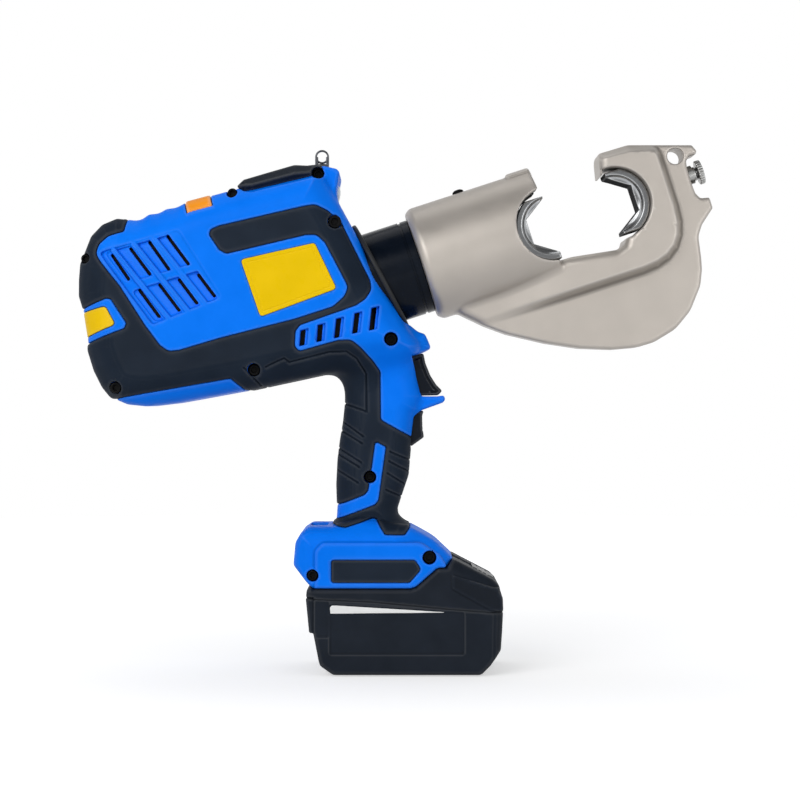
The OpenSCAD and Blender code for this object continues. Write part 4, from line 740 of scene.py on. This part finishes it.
def half_body(side):
    """The blue shell and the dark skin of one half; side -1 carries the label and the screw heads."""
    s = Space((-192, -40.5, 48), (29, 1.2, 298))
    wide = np.abs(s.y)
    body = body_field(s)
    handle = extrude(face_field(s, HANDLE_EDGE, HANDLE_Y), s.y, HANDLE_HALF, 13.0)
    foot = foot_field(s)
    turret = extrude(face_field(s, TURRET_EDGE, TURRET_Y), s.y, 22, 2.2)
    nose = extrude(face_field(s, NOSE_EDGE, NOSE_Y), s.y, 15, 4.0)
    fin = extrude(face_field(s, FIN_EDGE, FIN_Y), s.y, 11, 2.2)
    grip = smin(smin(body, handle, 16.0), foot, 4.0)
    blue = smin(smin(smin(grip, nose, 7.0), fin, 3.0), turret, 3.0)
    clear = joined(face_field(s, TRIGGER_CLEAR, TRIGGER_ROOM_Y), face_field(s, LEVER_CLEAR, LEVER_ROOM_Y))
    blue = smax(blue, -clear, 1.0)
    rear_vents(s, blue, body)
    front_vents(s, blue, body)

    stripes = joined(face_field(s, BELLY_STRIP), face_field(s, GRIP_STRIPE, GRIP_Y))
    dark = shared(face_field(s, BELLY), -stripes, -face_field(s, INLAY_FRAME))
    hollow = joined(smin(body + WALL, handle + GRIP_WALL, 6.0), shared(foot + GRIP_WALL, 63.5 - s.z))
    halved = shared(-room_field(s, side), s.y + 0.02)
    pad = shared(face_field(s, PAD_EDGE, PAD_Y) - 0.2, wide - PAD_HALF - 0.2, -(body + SKIN + 0.1))

    shell = smax(blue, -shared(dark, -(grip + SKIN + 0.1)), 0.7)
    shell = smax(shell, -shared(face_field(s, INLAY), -(grip + SKIN)), 0.5)
    if side < 0:
        shell = smax(shell, -shared(face_field(s, LABEL_EDGE) - 0.15, s.y + BODY_HALF - 0.7), 0.3)
    shell = smax(shell, -shared(face_field(s, FOOT_INLAY) - 0.3, FOOT_HALF - 1.5 - wide), 0.6)
    shell = shared(shell, -pad, -hollow, halved)

    skin = smax(grip - 0.5, dark + 0.3, 1.6)
    skin = smax(skin, -shared(skin_lines(s), -(grip + 0.25)), 0.5)
    others = joined(nose, fin, turret, pad)
    skin = shared(skin, -(grip + SKIN), halved, -others - 0.1, -clear)
    return s, shell, skin


def housing():
    for side, name in ((-1, "right"), (1, "left")):
        s, shell, skin = half_body(side)
        solid("shell_" + name, s, shell, BLUE, "tool", ["housing_" + name], mirror=side > 0)
        solid("grip_skin_" + name, s, skin, DARK, "tool", ["overmould_" + name], mirror=side > 0)


def vent_shade_sheets():
    """Near-black dimpled sheets that follow the shell's inside behind the vents, painted shade that darkens
    what shows through the slots.
    """
    s = Space((-182, -36, 186), (-8, -22, 264))
    dimples = np.hypot(np.mod(s.x, 3.0) - 1.5, np.mod(s.z, 3.0) - 1.5) - 0.8
    under = body_field(s) + WALL + 1.5
    for name, edge in (("rear", REAR_SCREEN), ("front", FRONT_SCREEN)):
        sheet = smax(np.abs(under) - 0.7, face_field(s, edge), 0.3)
        d = shared(sheet, -shared(dimples, under))
        for side in ("right", "left"):
            label = "vent_shade_sheet_%s_%s" % (name, side)
            solid(label, s, d, SCREW, "tool", mirror=side == "left")


# Trim of the body
def rear_flash():
    s = Space((-192, -40.5, 180), (-160, 40.5, 222))
    body = body_field(s)
    d = smax(body - 0.1, face_field(s, INLAY) + 0.25, 0.8)
    d = shared(d, -(body + SKIN - 0.1))
    solid("rear_flash", s, d, YELLOW, "tool", ["rear_inlay"])


def top_bumper():
    s = Space((-103, -32, 272), (-46, 32, 299))
    body = body_field(s)
    pad = face_field(s, PAD_EDGE, PAD_Y)
    d = smax(extrude(pad, s.y, PAD_HALF, 1.2), body - 6.6, 2.0)
    d = smax(d, bevel(pad, s.y, PAD_HALF, 6.5), 1.0)
    eye_slot = shared(np.abs(s.x - EYE_X) - 4.6, np.abs(s.y) - 1.9, 288 - s.z)
    d = shared(d, -(body + SKIN), -eye_slot)
    for screw in PAD_SCREWS:
        d = shared(d, -screw_hole(s, screw))
    solid("top_bumper", s, d, PAD, "tool", ["top_pad"])


def lanyard_eye():
    """A ring on two legs with a cross bar."""
    s = Space((EYE_X - 5, -2, 289.5), (EYE_X + 5, 2, 306), FINE)
    ring = np.abs(np.hypot(s.x - EYE_X, s.z - EYE_Z) - 3.55) - 0.55
    off = np.abs(s.x - EYE_X)
    legs = shared(np.abs(off - 3.2) - 0.9, s.z - EYE_Z, 290.4 - s.z)
    cross = shared(off - 3.2, np.abs(s.z - 296.3) - 0.9)
    d = extrude(joined(ring, legs, cross), s.y, 1.4, 0.4)
    solid("lanyard_eye", s, d, WIRE, "tool", ["hanging_eye"])


def lamp_dome():
    rings = [(-2.8, 0.01), (-2.8, 5.5), (0.2, 5.5), (1.0, 5.25), (1.8, 4.3), (2.3, 2.7), (2.5, 0.01)]
    direction = (math.cos(LENS_LEAN), 0, math.sin(LENS_LEAN))
    lathe("lamp_dome", rings, (LENS_X, 0, LENS_Z), direction, LENS, "tool", ["lamp_lens"], 48)


def neck_collar():
    """An oval ring, slanted as the body's front is, around the neck."""
    s = Space((-40, -36, 195), (9, 36, 264))
    a, b = turned(s.x, s.z, COLLAR_X, COLLAR_Z, COLLAR_LEAN)
    d = extrude(np.hypot(s.y * COLLAR_OVAL, b) - COLLAR_RADIUS, a - 0.9, 1.4, 1.1)
    a, b = turned(s.x, s.z, HEAD_X, HEAD_Z, TILT)
    d = shared(d, NECK_RADIUS + 0.2 - np.hypot(s.y, b))
    solid("neck_collar", s, d, BLACK, "tool", ["front_collar"])


def side_plate():
    """The bare label plate, with a border line sunk into it."""
    s = Space((-104, -39.6, 203), (-36, -37.6, 255), FINE)
    d = face_field(s, LABEL_EDGE)
    border = shared(np.abs(d + 2.4) - 0.25, s.y + 38.6)
    plate = shared(extrude(d, s.y + 38.3, 0.5, 0.25), -border)
    solid("side_plate", s, plate, LABEL, "tool", ["label_plate"])


def foot_panels():
    s = Space((-47, -38.4, 46), (11, -36, 70), FINE)
    d = extrude(face_field(s, FOOT_INLAY), s.y + 37.2, 0.7, 0.6)
    for name in ("right", "left"):
        solid("foot_panel_" + name, s, d, DARK, "tool", ["foot_inlays"], mirror=name == "left")


def case_screws():
    """Round heads with a hexagon socket, sunk in their holes."""
    for n, (u, v, radius, face) in enumerate(SCREWS):
        cx, cz = photo([(u, v)], -face)[0]
        r = radius * PIXEL - 0.35
        s = Space((cx - r - 1, -face + 0.5, cz - r - 1), (cx + r + 1, -face + 9, cz + r + 1), FINE)
        off_x, off_z = np.abs(s.x - cx), np.abs(s.z - cz)
        head = extrude(np.hypot(s.x - cx, s.z - cz) - r, s.y + face - 5.3, 1.6, 0.7)
        socket = shared(off_z, off_z * 0.5 + off_x * 0.866) - r * 0.5
        d = shared(head, -shared(socket, s.y + face - 5.6))
        solid("case_screw_%d" % (n + 1), s, d, SCREW, "tool", ["housing_screws"])


def strap_bar():
    s = Space((-54.5, -14, 78), (-48.5, 14, 84), FINE)
    d = extrude(np.hypot(s.x + 51.5, s.z - 81.4) - 1.4, s.y, 12.8, 0.3)
    solid("strap_bar", s, d, STEEL, "tool")


# Controls
TRIGGER_EDGE = [
    (397, 358, 1), (411, 356.5), (423.4, 352.8, 1.5), (425.5, 363.1, 6), (430.5, 375.6, 8),
    (436.3, 384.7, 6), (442.6, 391, 1.5), (437.9, 395.3, 1.5), (422.2, 395.6, 1), (397, 395, 1),
]
LEVER_EDGE = [
    (424, 410.6, 1.5), (422.2, 415.4, 6), (422.6, 427.8, 8), (424, 437.2, 1.5), (411.5, 446.2, 1),
    (399.5, 440, 2), (399.5, 412, 2),
]


def pull_trigger():
    """The trigger, with a groove along the edges of its finger face."""
    s = Space((-8, -10, 158), (24, 10, 189), FINE)
    edge = face_field(s, TRIGGER_EDGE, TRIGGER_Y)
    groove = 0.6 - np.hypot(edge + 2.2, np.abs(s.y) - 9.0)
    finger_side = 0.893 * s.x + 0.449 * s.z - 85.5
    d = smax(extrude(edge, s.y, 9.0, 1.6), np.minimum(groove, finger_side), 0.4)
    solid("pull_trigger", s, d, CONTROL, "trigger", ["trigger"])


def release_lever():
    """The retract lever, with three thumb grooves."""
    s = Space((-7, -9, 128), (13, 9, 154), FINE)
    d = extrude(face_field(s, LEVER_EDGE, LEVER_Y), s.y, 8.0, 1.5)
    for k in range(3):
        d = smax(d, 0.5 - np.hypot(s.x - 9.6, s.z - 140.5 - 2.6 * k), 0.4)
    solid("release_lever", s, d, CONTROL, "retract", ["retract_lever"])


def thumb_button():
    """The orange bar across the back, proud of the body."""
    s = Space((-134, -34.5, 260), (-108, 34.5, 284))
    a, b = turned(s.x, s.z, BUTTON_X, BUTTON_Z, BUTTON_LEAN)
    d = smax(body_field(s) - 0.6, np.abs(a) - 7.5, 1.6)
    d = shared(smax(d, np.abs(s.y) - 33, 1.2), -8 - b)
    solid("thumb_button", s, d, ORANGE, "button", ["release_button"])


# Neck, head and dies, with X along the ram axis and millimetres from the head's rear face
WEB = [
    (12.2, -34.4, 6), (23.6, -45.1, 8), (34.8, -54, 10), (55.4, -66.4, 20), (73, -75.2, 20),
    (91.2, -81.9, 20), (105.4, -85.2, 20), (115.5, -85.4, 20), (129.9, -82, 20), (141.5, -74.5, 20),
    (151.6, -62.4, 15), (155.5, -53.6, 10), (157.2, -46.9, 10), (159.5, -34.4, 10), (163.6, -28.6, 6),
    (172.6, -21.3, 1.5), (172.7, -14.7, 1.5), (167.5, -13.6, 2), (165.6, -9.9, 3), (165.3, -4.7, 4),
    (165.6, 6.4, 3), (166.3, 9.8, 2), (168.8, 11.9, 2), (172.5, 11.7, 1), (174, 13.3, 1),
    (172.2, 17.6, 1.5), (136.5, 29.2, 10), (117.8, 29.6, 3),
]
INNER = [
    (114.9, 16.4, 0.5), (122, 16.4), (122, -20.4), (118.6, -21.8, 1), (116.1, -25.8, 2),
    (110.7, -27.4, 4), (86.3, -23.5, 6), (78.3, -22.4, 4), (76, -22, 2), (70, -10), (12, -10),
]
RIDGE = [
    (-20, -36), (0, -41), (14, -43.9, 10), (151.9, -43.9, 30), (151.9, 22.3, 7), (134.7, 27.1, 10),
    (118, 27.8), (112, 27.8), (112, 60), (-20, 60),
]
DIE_HEXAGON = [(-3, -16.3), (0, -16.3), (13, -7.5), (13, 7.5), (0, 16.3), (-3, 16.3)]
FIXED_DIE_A, RAM_DIE_A = 118.0, 79.5
DIE_DROP = 1.5
CYLINDER_RADIUS, CYLINDER_LENGTH = 33.8, 77
NECK_BORE, RAM_BORE = 25.0, 22.05
KNOB_B = 1.6


def neck():
    rings = [(-40, 22), (-40, NECK_RADIUS), (-6.0, NECK_RADIUS), (-5.8, 27.3), (-4.6, 27.3),
             (-4.4, NECK_RADIUS), (-0.6, NECK_RADIUS), (-0.3, 27.7), (-0.3, 24.95), (15.5, 24.95), (15.5, 22)]
    along = (math.cos(TILT), 0, math.sin(TILT))
    lathe("neck", rings, (HEAD_X, 0, HEAD_Z), along, NECK, "tool", ["neck_tube"], 160)


def cylinder_field(s):
    """The head's cylinder, with a chamfer at its rear and a lip at the top of its mouth."""
    r = np.hypot(s.y, s.z)
    half = CYLINDER_LENGTH / 2
    d = extrude(r - CYLINDER_RADIUS, s.x - half, half, 1.6)
    d = smax(d, (r - CYLINDER_RADIUS + 2.5 - s.x * 0.75) * 0.8, 1.0)
    lip = cuboid(s, (63.5, -12.5, 5), (CYLINDER_LENGTH, 12.5, 60), 1.0)
    return smin(d, smax(lip, r - 35.4, 1.0), 1.5)


def jaw_field(s):
    """The C-shaped web: a thinner outer plate that rises to a thick band around the mouth."""
    rise = smooth_step((2.6 - outline(s.x, s.z, fillet(RIDGE))) / 5.6)
    thick = 12.5 + 7.5 * smooth_step((s.x - 30) / 60)
    half = 11 + (thick - 11) * rise
    return extrude(outline(s.x, s.z, fillet(WEB + INNER)), s.y, half, 2.2 + 3.0 * rise)


def jaw_head():
    """The forged head, with its bores, the seats of the dies, a hole at the tip and the knob's bore."""
    s = Space((-1.2, -35.8, -87.5), (175.2, 35.8, 36.6), HEAD_STEP)
    a, y, b = s.x, s.y, s.z
    r = np.hypot(y, b)
    d = smin(cylinder_field(s), jaw_field(s), 3.0)
    d = shared(d, -shared(r - NECK_BORE, a - 17), -shared(r - RAM_BORE, a - 90))
    d = smax(d, 21.6 - np.hypot(a - RAM_DIE_A, b + DIE_DROP), 0.8)
    d = smax(d, np.minimum(21.2 - np.hypot(a - FIXED_DIE_A, b + DIE_DROP), a - 116.6), 0.8)
    d = smax(d, 4.7 - np.hypot(a - 160.9, b - 14.4), 0.8)
    d = shared(d, -shared(np.hypot(y, b - KNOB_B) - 3.3, 140 - a))
    solid("jaw_head", s, d, HEAD, "head", ["c_head"], tilted=True)


def half_die(name, node, body, centre, way, top, foot):
    """A half-hexagon die with a hollow rim on each side; way is 1 where it opens to the rear."""
    low, high = (centre - 1, centre + 23) if way > 0 else (centre - 23, centre + 1)
    s = Space((low, -14, -24), (high, 14, 21), FINE)
    a, b = (s.x - centre) * way, s.z + DIE_DROP
    wide = np.abs(s.y)
    r = np.hypot(a, b)
    d = extrude(shared(r - 20.8, -a, b - top, foot - b), s.y, 13, 0.9)
    d = shared(d, -outline(a, b, DIE_HEXAGON))
    d = smax(d, 4.2 - np.hypot(r - 13.2, wide - 14.2), 0.4)
    d = shared(d, -shared(r - 13.2, 10 - wide))
    solid(name, s, d, DIE, body, [node], tilted=True)


def lock_knob():
    """A knurled disc with a dished face, on a stepped pin."""
    s = Space((155, -8.5, -7), (176, 8.5, 10.2), FINE)
    up = s.z - KNOB_B
    r = np.hypot(s.y, up)
    knurl = 0.2 * (1 + np.cos(28 * np.arctan2(s.y, up)))
    d = extrude(r - 7.2 + knurl, s.x - 173.2, 1.6, 0.6)
    d = smax(d, 4.4 - np.hypot(r, s.x - 178.4), 0.6)
    d = smin(d, extrude(r - 3.0, s.x - 164.5, 8.0, 0.3), 1.4)
    d = smin(d, extrude(r - 4.2, s.x - 169.4, 1.2, 0.4), 0.6)
    solid("lock_knob", s, d, STEEL, "knob", ["die_lock_knob"], tilted=True)


def cap_screw():
    rings = [(-2.5, 0.01), (-2.5, 3.0), (0.1, 3.4), (0.8, 3.4), (1.5, 3.0), (2.1, 1.9), (2.2, 1.5),
             (1.3, 1.4), (1.2, 0.01)]
    x, z = axis_place(34, 33.6)
    direction = (-math.sin(TILT), 0, math.cos(TILT))
    lathe("cap_screw", rings, (x, 0, z), direction, SCREW, "head", ["head_cap_screw"], 48)


# Battery, its outlines in pixels as before
PACK_EDGE = [
    (310.6, 585.4, 1), (306.5, 590.4, 2), (305.7, 599.5, 2), (309, 633, 0.6), (313.1, 633.4, 0.6),
    (318.1, 659.2, 3), (319.8, 665.8, 3), (333, 675.2, 4), (481.4, 675.2, 4), (490.6, 665.8, 3),
    (501.3, 650.9, 4), (502.6, 632.7, 5), (503.8, 609.5, 5), (503.5, 599.5, 3), (500.5, 590.4, 3),
    (499.7, 586.2, 2), (493.9, 580.4, 2), (453.3, 559.2, 1), (446.6, 568.2, 2), (437.5, 568.2, 2),
    (415.9, 587.2, 2), (410.1, 589.2, 2), (312.3, 589.2, 1),
]
PACK_SPLIT = [
    (290, 598), (306, 598), (312.5, 599.5), (372, 602), (450, 609.5), (491, 612.6), (520, 613),
    (520, 540), (290, 540),
]
PANEL = [(329.6, 604.8, 0.8), (463.8, 612.2, 0.8), (463.8, 654.6, 0.8), (329.6, 654.6, 0.8)]
WEDGE = [
    (329.9, 607.6, 0.6), (331.6, 605.6, 0.8), (337, 605.6, 2), (444.6, 612.2), (444, 612.8),
    (330.2, 613.8, 0.4),
]
BAND = [
    (452, 574.5, 1), (494, 587.5, 1), (506, 588), (506, 612), (491, 610.4, 1), (456, 591, 2),
    (452, 588.5, 1),
]
REAR_BLOCK = [(313.6, 600, 0.5), (328.6, 601, 0.5), (328.6, 637.4, 0.8), (314.2, 637.4, 0.5)]
PACK_HALF = 37
SLOPE_X, SLOPE_Z = 0.47, 0.883


def pack_case(s, edge, split):
    """The outside of the battery: bevelled front and top, a groove at the split, a band and sunk panels."""
    wide = np.abs(s.y)
    case = extrude(edge, s.y, PACK_HALF, 2.5)
    case = smax(case, bevel(s.x - 55.4, s.y, PACK_HALF, 5.0), 2.0)
    case = smax(case, np.minimum(np.minimum(-53.6 - s.x, wide - 35.6), 45 - s.z), 1.0)
    case = smax(case, bevel(s.x * SLOPE_X + s.z * SLOPE_Z - 72.4, s.y, PACK_HALF, 6.0), 2.0)
    case = smax(case, np.minimum(wide - 36.4, s.x - 49.4 - 0.02 * s.z), 0.4)
    case = smax(case, 0.45 - np.hypot(split, np.minimum(case, 0)), 0.4)
    band = shared(face_field(s, BAND, PACK_SIDE_Y), edge + 0.6)
    case = smin(case, extrude(band, s.y, PACK_HALF + 0.6, 0.6), 0.6)
    case = smax(case, -shared(face_field(s, PANEL, PACK_SIDE_Y), 36.5 - wide), 0.4)
    return smax(case, -shared(face_field(s, REAR_BLOCK, PACK_SIDE_Y), 36.6 - wide), 0.4)


def pack():
    """The two halves of the battery's case, hollow, with the rail on top and room for the latch."""
    s = Space((-60.5, -38.2, -1.2), (58, 38.2, 70), PACK_STEP)
    edge = face_field(s, PACK_EDGE, PACK_Y)
    split = face_field(s, PACK_SPLIT, PACK_SPLIT_Y)
    key_room = cuboid(s, (37.6, -14.4, 45), (51.4, 14.4, 80))
    arm_room = cuboid(s, (13.0, -8.4, 47.2), (40, 8.4, 80))
    latch_room = joined(key_room, arm_room)
    hollow = shared(extrude(edge + 3.0, s.y, 33.5, 1.0), s.z - 48.0, s.x - 51)
    case = shared(pack_case(s, edge, split), -joined(hollow, latch_room))
    rail = joined(cuboid(s, (-50, -22, 46), (0, 22, 54)), cuboid(s, (-50, -27, 54.2), (0, 27, 59), 0.5))
    upper = smin(shared(case, split), shared(rail, -hollow), 0.3)
    upper = shared(upper, -latch_room)
    lower = shared(case, 0.04 - split)
    solid("pack_top", s, upper, CASE, "battery", ["battery_upper_case"])
    solid("pack_tub", s, lower, CASE, "battery", ["battery_lower_case"])


def pack_flashes():
    """The plain white wedge on each side."""
    s = Space((-48, -37.5, 33), (28, -35.8, 43), FINE)
    d = extrude(face_field(s, WEDGE, PACK_SIDE_Y), s.y + 36.55, 0.4, 0.1)
    for name in ("right", "left"):
        solid("pack_flash_" + name, s, d, WHITE, "battery", mirror=name == "left")


def latch_key():
    """The battery's latch: a grooved key, an arm and a tooth that holds the foot."""
    s = Space((12, -15.5, 46), (53, 15.5, 64), FINE)
    top = s.x * SLOPE_X + s.z * SLOPE_Z - 72.0
    d = smax(cuboid(s, (38, -14, 50), (51, 14, 62), 1.2), top, 1.0)
    for k in range(3):
        x = 41.5 + 2.6 * k
        z = (72.0 - x * SLOPE_X) / SLOPE_Z
        d = smax(d, 0.5 - np.hypot(s.x - x, s.z - z), 0.4)
    arm = cuboid(s, (14, -8, 51.9), (40, 8, 54.9), 0.4)
    tooth = cuboid(s, (14, -8, 52), (18, 8, 62.5), 0.6)
    d = smin(d, smin(arm, tooth, 0.8), 0.8)
    solid("latch_key", s, d, CONTROL, "latch", ["latch_button"])


# Camera, light and floor
def camera():
    """The photograph's camera, level and square to the tool's side."""
    sensor = 36.0
    eye = bpy.data.objects.new("camera", bpy.data.cameras.new("camera"))
    eye.location = (AIM_X * MM, -EYE * MM, AIM_Z * MM)
    eye.rotation_euler = (math.pi / 2, 0, 0)
    eye.data.sensor_width = sensor
    eye.data.lens = sensor * EYE / (PICTURE * PIXEL)
    eye.data.clip_start = 0.01
    bpy.context.scene.collection.objects.link(eye)
    bpy.context.scene.camera = eye


def lamp(name, spot, target, size, power):
    light = bpy.data.lights.new(name, "AREA")
    light.shape = "DISK"
    light.size = size
    light.energy = power
    obj = bpy.data.objects.new(name, light)
    obj.location = spot
    obj.rotation_euler = (Vector(target) - Vector(spot)).to_track_quat("-Z", "Y").to_euler()
    bpy.context.scene.collection.objects.link(obj)


def seen_rays(tree):
    """1 for what the camera sees, straight or in a reflection or through glass, and 0 for light on things."""
    path = add_node(tree, "ShaderNodeLightPath")
    total = path.outputs["Is Camera Ray"]
    for other in ("Is Glossy Ray", "Is Transmission Ray"):
        total = maths(tree, "ADD", total, path.outputs[other], clamp=True)
    return total


def studio_world():
    """A white room that darkens upwards where it is seen, and an even pale light on the tool."""
    world = bpy.data.worlds.new("studio")
    world.use_nodes = True
    bpy.context.scene.world = world
    tree = world.node_tree
    tree.nodes.clear()
    view = add_node(tree, "ShaderNodeTexCoord").outputs["Generated"]
    height = add_node(tree, "ShaderNodeSeparateXYZ", {0: view}).outputs["Z"]
    walls = greys(tree, height, ((0.42, 1.0), (0.8, 0.16)))
    walls.color_ramp.interpolation = "EASE"
    seen = add_node(tree, "ShaderNodeBackground", {"Color": walls.outputs["Color"], "Strength": 1.0})
    lit = add_node(tree, "ShaderNodeBackground", {"Color": (0.95, 0.97, 1, 1), "Strength": 0.42})
    mix = add_node(tree, "ShaderNodeMixShader", {0: seen_rays(tree), 1: lit.outputs[0], 2: seen.outputs[0]})
    add_node(tree, "ShaderNodeOutputWorld", {0: mix.outputs[0]})


def studio_floor():
    """A pale paper disc; its glow is only seen, lights nothing and grows outwards to white."""
    radius, drop, sides = 1.6, 0.0002, 96
    angles = [2 * math.pi * i / sides for i in range(sides)]
    points = [(0, 0, -drop)] + [(radius * math.cos(t), radius * math.sin(t), -drop) for t in angles]
    floor = add_mesh("floor", points, [(0, 1 + i, 1 + (i + 1) % sides) for i in range(sides)])
    paper = finish_of("floor_paper", "D8D8D8", 0.9, grain=200, bump=0.01, tone=0.004, spec=0.0)
    tree = paper.node_tree
    where = add_node(tree, "ShaderNodeTexCoord").outputs["Object"]
    distance = add_node(tree, "ShaderNodeVectorMath", {0: where}, operation="LENGTH").outputs["Value"]
    glow = maths(tree, "MULTIPLY", ranged(tree, distance, 0.1, 0.9, 0.52, 0.85), seen_rays(tree))
    shader = tree.nodes["Principled BSDF"]
    shader.inputs["Emission Color"].default_value = (1, 1, 1, 1)
    tree.links.new(glow, shader.inputs["Emission Strength"])
    floor.data.materials.append(paper)


housing()
# Painted shade behind the vent slots
vent_shade_sheets()
rear_flash()
top_bumper()
lanyard_eye()
lamp_dome()
neck_collar()
side_plate()
foot_panels()
case_screws()
strap_bar()

pull_trigger()
release_lever()
thumb_button()

neck()
jaw_head()
half_die("front_die", "fixed_die", "head", FIXED_DIE_A, 1, 18.9, -18.3)
half_die("ram_die", "moving_die", "ram", RAM_DIE_A, -1, 17.5, -20.4)
lock_knob()
cap_screw()

pack()
pack_flashes()
latch_key()

camera()
lamp("key", (-0.9, -1.5, 0.9), (0, 0, 0.2), 1.3, 16)
lamp("fill", (1.1, -1.5, 0.1), (0, 0, 0.2), 1.3, 9.5)
lamp("rim", (-0.2, 0.5, 1.6), (0, 0, 0.25), 1.0, 3)
studio_world()
studio_floor()
bpy.context.scene.view_settings.view_transform = "Standard"
